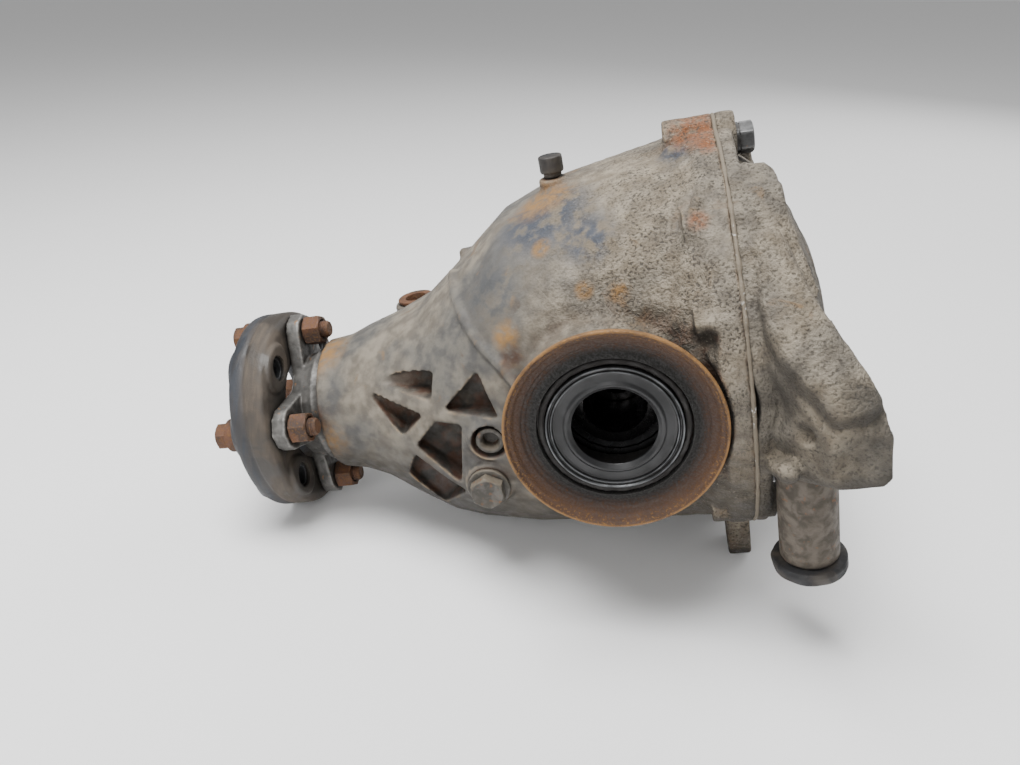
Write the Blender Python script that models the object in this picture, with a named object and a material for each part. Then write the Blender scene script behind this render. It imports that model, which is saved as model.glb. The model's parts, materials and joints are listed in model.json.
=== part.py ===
"""Rear final drive: hypoid gear set and bevel differential in a cast housing.

Everything is laid out in the drive's own frame, in millimetres: the origin is
on the output axis midway between the two outputs, +X points to the rear cover,
-X to the input flange, +Y to the crown wheel's side and +Z up.  One empty,
drive_frame, pitches that frame nose down and lifts it, so that the drive stands
on its flex disc and its two lower lugs with the floor at z = 0.
"""
import math

import bmesh
import bpy
import numpy as np
from mathutils import Vector

MM = 0.001                      # metres in a millimetre
GAP = 0.3                       # space kept between neighbouring pieces
HOLE_GAP = 0.8                  # more where a hole has few sides

# --- how the drive stands ---------------------------------------------------
NOSE_DOWN = math.radians(10.9)  # pitch at which disc and lugs share one floor
FRAME_LIFT = 137.3              # output axis above the floor
FRAME_SHIFT = 66.0              # output axis ahead of the outline's middle

# --- axes and outputs ---------------------------------------------------------
PINION_Z = -25.0                # hypoid offset: the pinion axis lies below
OUTPUT_FACE = 124.7             # half of the width over the dust rings
DUST_RING_R = 59.0
SEAL_R = 36.5
SEAL_BORE_R = 22.5
BOSS_END = 118.0                # end of the housing's side boss
CUP_R = 40.0                    # carrier bearing, outside
CUP_Y = (68.0, 88.0)
HUB_R = 24.0                    # differential case hub
HUB_END = 92.0

# --- housing ------------------------------------------------------------------
JOINT_X = 70.0                  # face on which the rear cover is bolted
FLANGE_X = 55.0
FLANGE_R = 124.0
FLARE = ((8, 98), (32, 107), (50, 121))     # x, radius of the bell's rear flare
LOBE_R = 12.0
TOP_LOBE_R = 16.5
LOBE_FRONT = 46.0
TOP_LOBE_FRONT = 42.0
BOLT_CIRCLE = 113.0
COVER_BOLTS = (90, 50, 130, 24, 156, 222, 318, 270)    # degrees, from +Y
COVER_BOLT_R = 5.0
BOLT_TIP = 52.0                 # the bolts end in blind holes
GASKET = 0.7
LUG_Y = (14.0, 46.0)
LUG_BOTTOM = -150.5

# bell and nose: station x, top, bottom, half width, squareness
BELL = (
    (-197, 20, -70, 45, 2.0), (-180, 22, -73, 47.5, 2.0), (-164, 28, -80, 52, 2.0),
    (-143, 34, -94, 60, 2.1), (-120, 43, -107, 69, 2.2), (-100, 58, -111, 77, 2.3),
    (-60, 90, -114, 89, 2.5), (-25, 104, -115, 94, 2.5), (56, 119, -118, 103, 2.4),
)
# room for the crown wheel and case: station x, half height, half width
CAVITY = (
    (-99, 34, 38), (-92, 50, 50), (-70, 78, 59), (-40, 93, 62), (0, 100, 65),
    (72, 100, 66),
)
CAVITY_SQUARENESS = 4.5
# triangular pockets between the nose ribs: outline in x, z and depth of floor
RIB_POCKETS = (
    (((-159, 10), (-107, 19), (-111, 2)), 46),
    (((-157, 3), (-119, -8), (-136, -23)), 46),
    (((-111, -11), (-93, -11), (-99, -38), (-103, -54), (-128, -29)), 55),
    (((-131, -36), (-102, -62), (-124, -80), (-141, -53)), 48),
    (((-103, -2), (-76, 23), (-68, -5)), 66),
)
FILL_PLUG = (-77.0, -21.0)      # x, z of the recessed filler
DRAIN_PLUG = (-83.0, -51.0)     # x, z of the hexagon plug
PLUG_PAD_Y = -84.0
BREATHER = (-24.0, 108.0)       # x of the breather and the height of its seat
FRONT_EAR = (-146.0, 63.0)      # x, y of the front bush
FRONT_EAR_Z = (-16.0, 20.0)

# --- rear cover -----------------------------------------------------------------
COVER_FLANGE_BACK = 79.0
LOBE_STEP = 3.0                 # the lobes stand out behind the flange
DOME = (
    (74, 104, -100, 98, 2.2), (84, 102, -98, 95, 2.2), (98, 90, -86, 86, 2.1),
    (110, 68, -66, 68, 2.0), (119, 45, -44, 46, 2.0), (124, 24, -22, 24, 2.0),
)
DOME_CAVITY = ((70, 92, 64), (84, 82, 62), (98, 60, 56), (110, 34, 36))
# mount arm: distance out from the middle, front x, rear x, bottom z, top z
ARM = (
    (52, 75, 96, -58, 112), (68, 75, 97, -52, 104), (82, 75, 99, -47, 92),
    (95, 75, 103, -43, 77), (105, 75, 107, -40, 63), (117, 77, 113, -37, 46),
    (128, 83, 120, -35, 30), (138, 94, 128, -33, 15), (148, 102, 131, -30, 1),
)
BUSH_AT = (96.0, 112.0)         # x, y of the rear bushes
BUSH_R = 16.0
BUSH_WALL = 1.8
BUSH_Z = (-95.0, -8.0)
CORE_R = 9.5
BOLT_BORE_R = 7.4               # bore for a mounting bolt

# --- input end --------------------------------------------------------------------
DISC_R = 67.7
DISC_X = (-248.4, -221.5)
ARM_SEAT = -212.0               # rear face of the flange arms
FLANGE_PITCH_R = 53.1
ARM_ANGLES = (78.55, 168.55, 258.55, 348.55)
FLANGE_BOLT_R = 6.0
HOLE_R = 6.3

# --- hypoid set --------------------------------------------------------------------
RING_TEETH = 36
PINION_TEETH = 11
HEAD_X = (-91.0, -60.0)         # pinion head
HEAD_MID_X = -79.0
HEAD_MID_R = 28.0               # pitch radius there
HEAD_TAPER = 0.306              # pitch radius gained per millimetre forwards
HEAD_SPIRAL = 0.5               # tangent of the spiral angle
TIP_RATIO, ROOT_RATIO = 1.16, 0.857
TIP_LAND, FLANK = 0.24, 0.22    # shares of one pitch
RING_R = (64.0, 92.0)
RING_BACK = 44.0
RING_FACE = (19.6, 0.275)       # y of the tooth tops at the bore, and slope
BACKLASH = 0.65

# --- bevel gears of the differential ---------------------------------------------
SIDE_TEETH = 16
SPIDER_TEETH = 10
CONE = (22.0, 34.0)             # cone distances of the teeth
SPIDER_TIP, SPIDER_ROOT = 37.4, 25.6
SIDE_TIP = 63.0                 # polar angles in degrees
CROSS_R = 8.0
CASE_R = 46.0
CASE_BORE_R = 39.9

COLOURS = {                     # colour, roughness, metallic
    "cast_housing": ((0.36, 0.32, 0.26), 0.75, 0.2),
    "cast_cover": ((0.47, 0.42, 0.34), 0.8, 0.1),
    "rusty_steel": ((0.33, 0.15, 0.06), 0.8, 0.3),
    "worn_steel": ((0.30, 0.29, 0.28), 0.5, 0.7),
    "gear_steel": ((0.42, 0.42, 0.43), 0.3, 0.9),
    "bearing_steel": ((0.55, 0.55, 0.57), 0.2, 1.0),
    "black_rubber": ((0.02, 0.02, 0.02), 0.7, 0.0),
    "gasket": ((0.05, 0.05, 0.05), 0.6, 0.0),
}


# --- bodies and objects ---------------------------------------------------------------
def clear_scene():
    for obj in list(bpy.data.objects):
        bpy.data.objects.remove(obj)


def add_empty(name, at, parent):
    empty = bpy.data.objects.new(name, None)
    bpy.context.collection.objects.link(empty)
    empty.parent = parent
    empty.location = Vector(at) * MM
    return empty


def material(key):
    found = bpy.data.materials.get(key)
    if found:
        return found
    colour, roughness, metallic = COLOURS[key]
    found = bpy.data.materials.new(key)
    found.use_nodes = True
    shader = found.node_tree.nodes["Principled BSDF"]
    shader.inputs["Base Color"].default_value = (*colour, 1)
    shader.inputs["Roughness"].default_value = roughness
    shader.inputs["Metallic"].default_value = metallic
    return found


def make_object(name, bm):
    """An object in the drive's frame, still unparented, its mesh facing out."""
    bmesh.ops.remove_doubles(bm, verts=bm.verts, dist=1e-4)
    bmesh.ops.recalc_face_normals(bm, faces=bm.faces)
    mesh = bpy.data.meshes.new(name)
    bm.to_mesh(mesh)
    bm.free()
    obj = bpy.data.objects.new(name, mesh)
    bpy.context.collection.objects.link(obj)
    return obj


def place(obj, body, finish, smooth=True):
    """Scale the mesh to metres and hang the object on its body's empty."""
    offset = Vector(BODIES[body].location) / MM if body != "root" else Vector()
    for vertex in obj.data.vertices:
        vertex.co = (vertex.co - offset) * MM
    obj.parent = BODIES[body]
    obj.data.materials.clear()
    obj.data.materials.append(material(finish))
    if smooth:
        obj.data.shade_smooth()
        obj.data.set_sharp_from_angle(angle=math.radians(32))
    return obj


# --- solids ------------------------------------------------------------------------------
def clear(radius, segments):
    """Radius of a many-sided bore whose flats keep the gap to a round piece."""
    return (radius + GAP) / math.cos(math.pi / segments)


def along(axis, a, u, v):
    """A point a along an axis, with u and v across it."""
    return {"X": (a, u, v), "Y": (u, a, v), "Z": (u, v, a)}[axis]


def bridge(bm, low, high):
    """Faces between two rings, the first with a whole multiple of the points."""
    step = len(low) // len(high)
    for j in range(len(high)):
        near, far = high[j], high[(j + 1) % len(high)]
        for k in range(step):
            a = low[j * step + k]
            b = low[(j * step + k + 1) % len(low)]
            if k < step - 1:
                bm.faces.new((a, b, near))
            else:
                bm.faces.new((a, b, far, near))


def stack(rows, closed=False):
    """A body skinned over rings of points; closed joins the last to the first."""
    bm = bmesh.new()
    rings = [[bm.verts.new(p) for p in row] for row in rows]
    pairs = list(zip(rings, rings[1:]))
    if closed:
        pairs.append((rings[-1], rings[0]))
    else:
        bm.faces.new(rings[0])
        bm.faces.new(rings[-1])
    for one, other in pairs:
        if len(one) >= len(other):
            bridge(bm, one, other)
        else:
            bridge(bm, other, one)
    return bm


def turned(profile, axis, centre=(0, 0, 0), segments=28, turn=0.0):
    """A profile of (a, r) points turned round an axis; it closes on itself."""
    bm = bmesh.new()
    rows = []
    for a, r in profile:
        ring = []
        for k in range(segments):
            angle = 2 * math.pi * (k + turn) / segments
            point = along(axis, a, r * math.cos(angle), r * math.sin(angle))
            ring.append(Vector(point) + Vector(centre))
        rows.append([bm.verts.new(p) for p in ring] if r > 0
                    else [bm.verts.new(ring[0])])
    for one, other in zip(rows, rows[1:] + rows[:1]):
        if len(one) == 1 and len(other) == 1:
            continue
        for k in range(segments):
            n = (k + 1) % segments
            if len(one) == 1:
                bm.faces.new((one[0], other[k], other[n]))
            elif len(other) == 1:
                bm.faces.new((one[k], one[n], other[0]))
            else:
                bm.faces.new((one[k], one[n], other[n], other[k]))
    return bm


def tube(axis, a0, a1, inner, outer, centre=(0, 0, 0), segments=28):
    profile = ((a0, inner), (a0, outer), (a1, outer), (a1, inner))
    return turned(profile, axis, centre, segments)


def rod(axis, a0, a1, radius, centre=(0, 0, 0), segments=24, turn=0.0, chamfer=0.0):
    profile = [(a0, 0), (a0, radius - chamfer)]
    if chamfer:
        profile += [(a0 + chamfer, radius), (a1 - chamfer, radius)]
    profile += [(a1, radius - chamfer), (a1, 0)]
    return turned(profile, axis, centre, segments, turn)


def prism(outline, axis, a0, a1):
    """A straight prism over an outline given across its axis."""
    rows = [[along(axis, a, u, v) for u, v in outline] for a in (a0, a1)]
    return stack(rows)


def oval(x, top, bottom, half_width, power, points=28):
    """A superellipse section across X."""
    middle, half = (top + bottom) / 2, (top - bottom) / 2
    ring = []
    for k in range(points):
        angle = 2 * math.pi * k / points
        c, s = math.cos(angle), math.sin(angle)
        ring.append((x, half_width * math.copysign(abs(c) ** (2 / power), c),
                     middle + half * math.copysign(abs(s) ** (2 / power), s)))
    return ring


def closed_volume(mesh):
    """The volume inside a mesh, or None where the mesh has an open edge."""
    bm = bmesh.new()
    bm.from_mesh(mesh)
    closed = bm.faces and all(len(edge.link_faces) == 2 for edge in bm.edges)
    volume = bm.calc_volume(signed=True) if closed else None
    bm.free()
    return volume


def boolean(obj, bm, operation):
    """Join or cut an object with one tool mesh, which is used up.

    The exact solver now and then leaves a gap where faces nearly meet.  Then
    the manifold solver is asked, and after it the exact one with the tool a
    hundredth of a millimetre aside.
    """
    tool = make_object("tool", bm)
    before = closed_volume(obj.data)
    least = before * (0.999 if operation == "UNION" else 0.3)
    for solver, aside in (("EXACT", 0), ("MANIFOLD", 0), ("EXACT", 0.011),
                          ("EXACT", 0.023), ("MANIFOLD", 0.017)):
        tool.location = (aside, aside * 0.7, aside * 0.4)
        modifier = obj.modifiers.new("cut", "BOOLEAN")
        modifier.operation = operation
        modifier.solver = solver
        modifier.object = tool
        bpy.context.view_layer.update()
        graph = bpy.context.evaluated_depsgraph_get()
        result = bpy.data.meshes.new_from_object(obj.evaluated_get(graph))
        obj.modifiers.clear()
        volume = closed_volume(result)
        if volume is not None and volume >= least:
            break
    else:
        raise RuntimeError(f"no solver could shape {obj.name}")
    obj.data = result
    bpy.data.objects.remove(tool)


def join(obj, *tools):
    for bm in tools:
        boolean(obj, bm, "UNION")


def cut(obj, *tools):
    for bm in tools:
        boolean(obj, bm, "DIFFERENCE")


def piece(name, bm, body, finish, smooth=True):
    return place(make_object(name, bm), body, finish, smooth)


def around(count, first=0.0):
    return [first + 2 * math.pi * k / count for k in range(count)]


def sides():
    """The two outputs: the crown wheel is on the right one."""
    return (("left", -1.0), ("right", 1.0))


def mirrored(profile, sign):
    return [(a * sign, r) for a, r in profile]


# --- housing, cover and what is on them --------------------------------------------------
def bolt_places():
    """The cover bolts' y, z places round the joint."""
    return [(BOLT_CIRCLE * math.cos(a), BOLT_CIRCLE * math.sin(a))
            for a in map(math.radians, COVER_BOLTS)]


def lobe(z):
    """Radius and front face of the lobe round a bolt at height z."""
    if z > 0.99 * BOLT_CIRCLE:
        return TOP_LOBE_R, TOP_LOBE_FRONT
    return LOBE_R, LOBE_FRONT


def lug(x0, x1, sign, bottom):
    near, far = (sign * y for y in LUG_Y)
    slant = 5.0 * sign
    outline = ((near + slant, bottom), (far - slant, bottom), (far, bottom + 8),
               (far, -95), (near, -95), (near, bottom + 8))
    return prism(outline, "X", x0, x1)


def build_housing():
    body = make_object("housing", stack([oval(*s) for s in BELL]))
    rim = 1.6
    flange = [(FLARE[0][0], 0), *FLARE, (FLANGE_X, FLARE[-1][1]),
              (FLANGE_X, FLANGE_R - rim), (FLANGE_X + rim, FLANGE_R),
              (JOINT_X, FLANGE_R), (JOINT_X, 0)]
    join(body, turned(flange, "X", segments=36))
    for y, z in bolt_places():
        radius, front = lobe(z)
        join(body, rod("X", front, JOINT_X - 0.02, radius, (0, y, z), 12))
    for _, sign in sides():
        join(body, lug(FLANGE_X + 0.5, JOINT_X - 0.05, sign, LUG_BOTTOM))
        cut(body, rod("Y", sign * (BOSS_END - 5.6), sign * 130, DUST_RING_R + 1.5,
                      segments=32))
        boss = [(60, 0), (60, 56), (92, 52), (110, 46), (112, 40.5),
                (BOSS_END, 40.5), (BOSS_END, 0)]
        join(body, turned(mirrored(boss, sign), "Y", segments=28))
        for outline, floor in RIB_POCKETS:
            cut(body, prism(outline, "Y", sign * floor, sign * 130))
    for (x, z), radius in ((FILL_PLUG, 14.0), (DRAIN_PLUG, 15.5)):
        join(body, rod("Y", PLUG_PAD_Y, -56, radius, (x, 0, z), 16, chamfer=1.5))
    x, y = FRONT_EAR
    join(body, rod("Z", FRONT_EAR_Z[0], FRONT_EAR_Z[1], 16.0, (x, y, 0), 20,
                   chamfer=1.5),
         prism(((x - 13, y - 30), (x + 24, y - 30), (x + 14, y), (x - 14, y)),
               "Z", FRONT_EAR_Z[0] + 4, FRONT_EAR_Z[1] - 4))
    x, seat = BREATHER
    join(body, rod("Z", seat - 16, seat, 9.0, (x, 0, 0), 16, chamfer=1.0))

    cut(body, stack([oval(x, h, -h, w, CAVITY_SQUARENESS, 24) for x, h, w in CAVITY]))
    for _, sign in sides():
        wide, seal = clear(CUP_R, 24), clear(SEAL_R, 24)
        bore = [(40, 0), (40, wide), (CUP_Y[1] + GAP, wide), (CUP_Y[1] + GAP, 34),
                (108.5, 34), (108.5, seal), (135, seal), (135, 0)]
        cut(body, turned(mirrored(bore, sign), "Y", segments=24))
    head, front = clear(38, 24), clear(33, 24)
    nose_bore = [(-70, 0), (-70, head), (-121.3, head), (-121.3, 27), (-165.7, 27),
                 (-165.7, front), (-210, front), (-210, 0)]
    cut(body, turned(nose_bore, "X", (0, 0, PINION_Z), 24))
    for y, z in bolt_places():
        cut(body, rod("X", BOLT_TIP - 1, 90, COVER_BOLT_R + HOLE_GAP, (0, y, z), 8))
    for x, z in (FILL_PLUG, DRAIN_PLUG):
        cut(body, rod("Y", -100, -40, 9.0 + HOLE_GAP, (x, 0, z), 12))
    cut(body, rod("Y", -100, -78, 11.0, (FILL_PLUG[0], 0, FILL_PLUG[1]), 16),
        rod("Z", FRONT_EAR_Z[0] - 10, FRONT_EAR_Z[1] + 10, 11.0 + GAP,
            (FRONT_EAR[0], FRONT_EAR[1], 0), 20),
        rod("Z", 80, 120, 3.2, (BREATHER[0], 0, 0), 12))
    place(body, "root", "cast_housing")


def arm_rows(sign):
    rows = []
    for y, front, rear, bottom, top in ARM:
        lean = 5.0
        rows.append([(front, sign * y, bottom + 4), (front + 4, sign * y, bottom),
                     (rear - 4, sign * y, bottom), (rear, sign * y, bottom + 4),
                     (rear, sign * y, top - lean), (rear - 5, sign * y, top - 1),
                     (front + 5, sign * y, top), (front, sign * y, top - lean)])
    return rows


def build_cover():
    front = JOINT_X + GASKET + 2 * GAP
    rim = 2.0
    flange = [(front, 0), (front, FLANGE_R), (COVER_FLANGE_BACK - rim, FLANGE_R),
              (COVER_FLANGE_BACK, FLANGE_R - rim), (COVER_FLANGE_BACK, 0)]
    body = make_object("rear_cover", turned(flange, "X", segments=36))
    for y, z in bolt_places():
        join(body, rod("X", front + 0.02, COVER_FLANGE_BACK + LOBE_STEP, lobe(z)[0],
                       (0, y, z), 12))
    join(body, stack([oval(*s) for s in DOME]))
    for _, sign in sides():
        join(body, stack(arm_rows(sign)))
    cut(body, stack([oval(x, h, -h, w, CAVITY_SQUARENESS, 24)
                     for x, h, w in DOME_CAVITY]))
    for y, z in bolt_places():
        cut(body, rod("X", 60, 100, COVER_BOLT_R + HOLE_GAP, (0, y, z), 8),
            rod("X", COVER_FLANGE_BACK + LOBE_STEP, 150, 11.0, (0, y, z), 12))
    x, y = BUSH_AT
    for _, sign in sides():
        cut(body, rod("Z", -130, BUSH_Z[1] + GAP, BUSH_R + GAP, (x, sign * y, 0), 20))
    place(body, "root", "cast_cover")


def build_joint_pieces():
    front = JOINT_X + GAP
    gasket = make_object("cover_gasket", tube("X", front, front + GASKET, 102,
                                              FLANGE_R - 0.5, segments=32))
    for y, z in bolt_places():
        cut(gasket, rod("X", 60, 80, COVER_BOLT_R + HOLE_GAP, (0, y, z), 8))
    place(gasket, "root", "gasket")
    seat = COVER_FLANGE_BACK + LOBE_STEP + GAP
    for number, (y, z) in enumerate(bolt_places(), 1):
        piece(f"cover_bolt_{number}", hex_bolt(seat, 10.0, 9.4, BOLT_TIP, COVER_BOLT_R,
                                               (0, y, z), 1.0), "root", "worn_steel")


def twelve_points(a, radius, centre, hexagon=False):
    """Twelve points round X: a circle, or a hexagon with its corners at the radius."""
    points = []
    for angle in around(12):
        reach = radius
        if hexagon:
            off_flat = (angle + math.pi / 6) % (math.pi / 3) - math.pi / 6
            reach *= math.cos(math.pi / 6) / math.cos(off_flat)
        points.append((a, centre[1] + reach * math.cos(angle),
                       centre[2] + reach * math.sin(angle)))
    return points


def hex_bolt(seat, head, corner_r, tip, radius, centre, sign):
    """A bolt along X: head from the seat outwards, shank to the tip, as one body."""
    return stack([twelve_points(tip, radius, centre),
                  twelve_points(seat, radius, centre),
                  twelve_points(seat, corner_r, centre, hexagon=True),
                  twelve_points(seat + sign * head, corner_r, centre, hexagon=True)])


def hex_nut(a0, a1, corner_r, hole, centre):
    """A nut along X."""
    return stack([twelve_points(a0, corner_r, centre, hexagon=True),
                  twelve_points(a1, corner_r, centre, hexagon=True),
                  twelve_points(a1, hole, centre), twelve_points(a0, hole, centre)],
                 closed=True)


def build_plugs():
    x, z = DRAIN_PLUG
    face = PLUG_PAD_Y - GAP
    head = make_object("drain_plug", rod("Y", face - 9, face - 2.5, 11.0, (x, 0, z), 6,
                                         turn=0.25))
    join(head, rod("Y", face - 3, face, 13.0, (x, 0, z), 20),
         rod("Y", face - 0.5, -66, 9.0, (x, 0, z), 16))
    place(head, "root", "worn_steel")
    x, z = FILL_PLUG
    plug = make_object("fill_plug", rod("Y", -82.5, -62, 9.0, (x, 0, z), 16, chamfer=0.8))
    cut(plug, rod("Y", -90, -74, 5.2, (x, 0, z), 6))
    place(plug, "root", "worn_steel")
    x, seat = BREATHER
    cap = [(84, 0), (84, 2.8), (seat + GAP, 2.8), (seat + GAP, 5.5), (seat + 3, 5.5),
           (seat + 3, 7.2), (seat + 13, 7.2), (seat + 13, 0)]
    piece("breather_cap", turned(cap, "Z", (x, 0, 0), 14), "root", "black_rubber")


def build_side_outputs():
    ring = [(113, 41), (119.5, 41), (117, 46.5), (119, 54), (OUTPUT_FACE, 57),
            (OUTPUT_FACE, DUST_RING_R), (116, 55), (113, 46)]
    seal = [(109.5, SEAL_R), (119.5, SEAL_R), (119.5, 33), (117.5, 32), (118.5, 25),
            (117, SEAL_BORE_R), (113.5, 31), (109.5, 32)]
    cup = [(CUP_Y[0], 34.6), (CUP_Y[0], CUP_R), (CUP_Y[1], CUP_R), (CUP_Y[1], 31.0)]
    cone = [(CUP_Y[0], HUB_R + GAP), (CUP_Y[0], 33.6), (CUP_Y[1], 30.0),
            (CUP_Y[1], HUB_R + GAP)]
    for name, sign in sides():
        piece(f"dust_ring_{name}", turned(mirrored(ring, sign), "Y", segments=28),
              "root", "rusty_steel")
        piece(f"side_seal_{name}", turned(mirrored(seal, sign), "Y", segments=24),
              "root", "black_rubber")
        piece(f"carrier_cup_{name}", turned(mirrored(cup, sign), "Y", segments=20),
              "root", "bearing_steel")
        piece(f"carrier_cone_{name}", turned(mirrored(cone, sign), "Y", segments=20),
              "carrier", "bearing_steel")


def build_bushes():
    low, high = BUSH_Z
    inner = BUSH_R - BUSH_WALL
    for name, sign in sides():
        centre = (BUSH_AT[0], sign * BUSH_AT[1], 0)
        piece(f"rear_bush_sleeve_{name}", tube("Z", low, high, inner, BUSH_R, centre, 20),
              "root", "worn_steel")
        rubber = [(high - 4, CORE_R + GAP), (high - 4, inner - GAP),
                  (low - GAP, inner - GAP), (low - GAP, 21), (low - 9, 19),
                  (low - 9, CORE_R + GAP)]
        piece(f"rear_bush_rubber_{name}", turned(rubber, "Z", centre, 20),
              "root", "black_rubber")
        piece(f"rear_bush_core_{name}",
              tube("Z", low - 11, high - 2, BOLT_BORE_R, CORE_R, centre, 12),
              "root", "rusty_steel")
    low, high = FRONT_EAR_Z
    bush = [(low - 3, BOLT_BORE_R), (low - 3, 11), (high + 0.5, 11), (high + 0.5, 13),
            (high + 3, 13), (high + 3, BOLT_BORE_R)]
    piece("front_bush", turned(bush, "Z", (*FRONT_EAR, 0), 16), "root", "rusty_steel")


# --- pinion and input end -------------------------------------------------------------------
def pitch_radius(x):
    return HEAD_MID_R - HEAD_TAPER * (x - HEAD_MID_X)


def twist(x):
    """Angle by which the spiral teeth have turned at x, integrated along the cone."""
    start, here = pitch_radius(HEAD_MID_X), pitch_radius(x)
    return -HEAD_SPIRAL / HEAD_TAPER * math.log(here / start)


def tooth_height(share):
    """Height ratio of a pinion tooth at a share of the pitch from its middle."""
    share = np.abs((np.asarray(share) + 0.5) % 1.0 - 0.5)
    return np.interp(share, (TIP_LAND / 2, TIP_LAND / 2 + FLANK), (TIP_RATIO, ROOT_RATIO))


def pinion_ring(x, radius=None):
    """Points round the pinion: four to a tooth, or two where it is plain."""
    corners = (-TIP_LAND / 2 - FLANK, -TIP_LAND / 2, TIP_LAND / 2, TIP_LAND / 2 + FLANK)
    points = []
    for tooth in range(PINION_TEETH):
        for share in corners if radius is None else (corners[0], corners[2]):
            angle = (tooth + share) * 2 * math.pi / PINION_TEETH
            if radius is None:
                angle += twist(x)
                r = pitch_radius(x) * float(tooth_height(share))
            else:
                angle += twist(max(HEAD_X[0], min(HEAD_X[1], x)))
                r = radius
            points.append((x, r * math.cos(angle), PINION_Z + r * math.sin(angle)))
    return points


def build_pinion():
    front, rear = HEAD_X
    rows = [pinion_ring(rear, 17)]
    rows += [pinion_ring(x) for x in np.linspace(rear, front, 6)]
    for x, r in ((front - 0.01, 23), (-98, 23), (-98, 19), (-124, 19), (-126, 16),
                 (-196, 16), (-197, 13.5), (-215, 11), (-228, 11)):
        rows.append(pinion_ring(x, r))
    piece("pinion_shaft", stack(rows), "pinion", "gear_steel")
    centre = (0, 0, PINION_Z)
    head_cup = [(-121, 30.6), (-121, 38), (-99, 38), (-99, 34.6)]
    head_cone = [(-121, 19 + GAP), (-121, 29.7), (-99, 33.7), (-99, 19 + GAP)]
    front_cup = [(-186, 28.6), (-186, 33), (-166, 33), (-166, 25.6)]
    front_cone = [(-186, 16 + GAP), (-186, 27.7), (-166, 24.7), (-166, 16 + GAP)]
    piece("pinion_cup_head", turned(head_cup, "X", centre, 20), "root", "bearing_steel")
    piece("pinion_cup_front", turned(front_cup, "X", centre, 20), "root", "bearing_steel")
    piece("pinion_cone_head", turned(head_cone, "X", centre, 20), "pinion",
          "bearing_steel")
    piece("pinion_cone_front", turned(front_cone, "X", centre, 20), "pinion",
          "bearing_steel")
    bore = clear(16, 16)
    sleeve = [(-165.5, bore), (-165.5, 18.5), (-145, 21), (-126.5, 18.5), (-126.5, bore)]
    piece("crush_sleeve", turned(sleeve, "X", centre, 16), "pinion", "worn_steel")
    seal = [(-188, 33), (-196.5, 33), (-196.5, 25), (-191, 22.4), (-188, 26)]
    piece("pinion_seal", turned(seal, "X", centre, 24), "root", "black_rubber")


def flange_arm_outline(angle, half_root, half_tip, reach):
    """One arm of the input flange across X, tapering from its root to its tip."""
    c, s = math.cos(angle), math.sin(angle)
    flat = ((0, -half_root), (reach - 10, -half_tip), (reach - 4, -half_tip + 4),
            (reach, 0), (reach - 4, half_tip - 4), (reach - 10, half_tip),
            (0, half_root))
    return [(u * c - v * s, PINION_Z + u * s + v * c) for u, v in flat]


def build_input_flange():
    centre = (0, 0, PINION_Z)
    hub = [(-187, 16 + GAP), (-187, 22), (-197.5, 22), (-198, 38), (-203, 40),
           (-206, 38), (-219, 34), (-221, 30), (-221, 13.5 + GAP), (-197, 13.5 + GAP),
           (-196.6, 16 + GAP)]
    flange = make_object("input_flange", turned(hub, "X", centre, 24))
    for degrees in ARM_ANGLES:
        outline = flange_arm_outline(math.radians(degrees), 22, 13.5, 66)
        arm = prism(outline, "X", DISC_X[1] + 0.4, ARM_SEAT)
        join(flange, arm)
    cut(flange, rod("X", -240, -216, 24, centre, 24),
        rod("X", -240, -190, 13.5 + GAP, centre, 24))
    for y, z in disc_holes(0):
        cut(flange, rod("X", -230, -190, HOLE_R + HOLE_GAP - GAP, (0, y, z), 8))
    place(flange, "pinion", "worn_steel")
    nut = hex_nut(-225, -216.3, 20, clear(11, 12), (0, 0, PINION_Z))
    piece("pinion_nut", nut, "pinion", "worn_steel")


def disc_holes(half):
    """y, z of the disc's holes: half 0 for the bolted ones, 1 for the free ones."""
    angles = [math.radians(d + 45 * half) for d in ARM_ANGLES]
    return [(FLANGE_PITCH_R * math.cos(a), PINION_Z + FLANGE_PITCH_R * math.sin(a))
            for a in angles]


def build_flex_disc():
    centre = (0, 0, PINION_Z)
    a0, a1 = DISC_X
    profile = [(a0, 36), (a0, DISC_R - 4), (a0 + 4, DISC_R), (a1 - 4, DISC_R),
               (a1, DISC_R - 4), (a1, 36)]
    disc = make_object("flex_disc", turned(profile, "X", centre, 32))
    for half in (0, 1):
        for y, z in disc_holes(half):
            cut(disc, rod("X", a0 - 9, a1 + 9, HOLE_R + HOLE_GAP - GAP, (0, y, z), 8))
    place(disc, "pinion", "black_rubber")
    for number, (y, z) in enumerate(disc_holes(0), 1):
        at = (0, y, z)
        piece(f"flange_bolt_{number}",
              hex_bolt(a0 - 7, 8, 9.5, -194.5, FLANGE_BOLT_R, at, -1.0), "pinion",
              "rusty_steel")
        piece(f"flange_nut_{number}",
              hex_nut(ARM_SEAT + GAP, -199.5, 10.5, HOLE_R, at), "pinion",
              "rusty_steel")


# --- crown wheel: the surface that the pinion sweeps --------------------------------------------
def pinion_reach(x, z, turn):
    """Highest y that the pinion's teeth reach at x, z when it has turned."""
    y = np.linspace(8.0, 40.0, 257)[:, None]
    dz = z - PINION_Z
    radius = np.hypot(y, dz)
    base = HEAD_MID_R - HEAD_TAPER * (x - HEAD_MID_X)
    spiral = -HEAD_SPIRAL / HEAD_TAPER * np.log(base / HEAD_MID_R)
    share = (np.arctan2(dz, y) - spiral - turn) * PINION_TEETH / (2 * math.pi)
    inside = radius <= base * tooth_height(share)
    inside &= (x > HEAD_X[0] - 1) & (x < HEAD_X[1] + 1)
    return np.where(inside, y, 0.0).max(axis=0)


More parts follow.
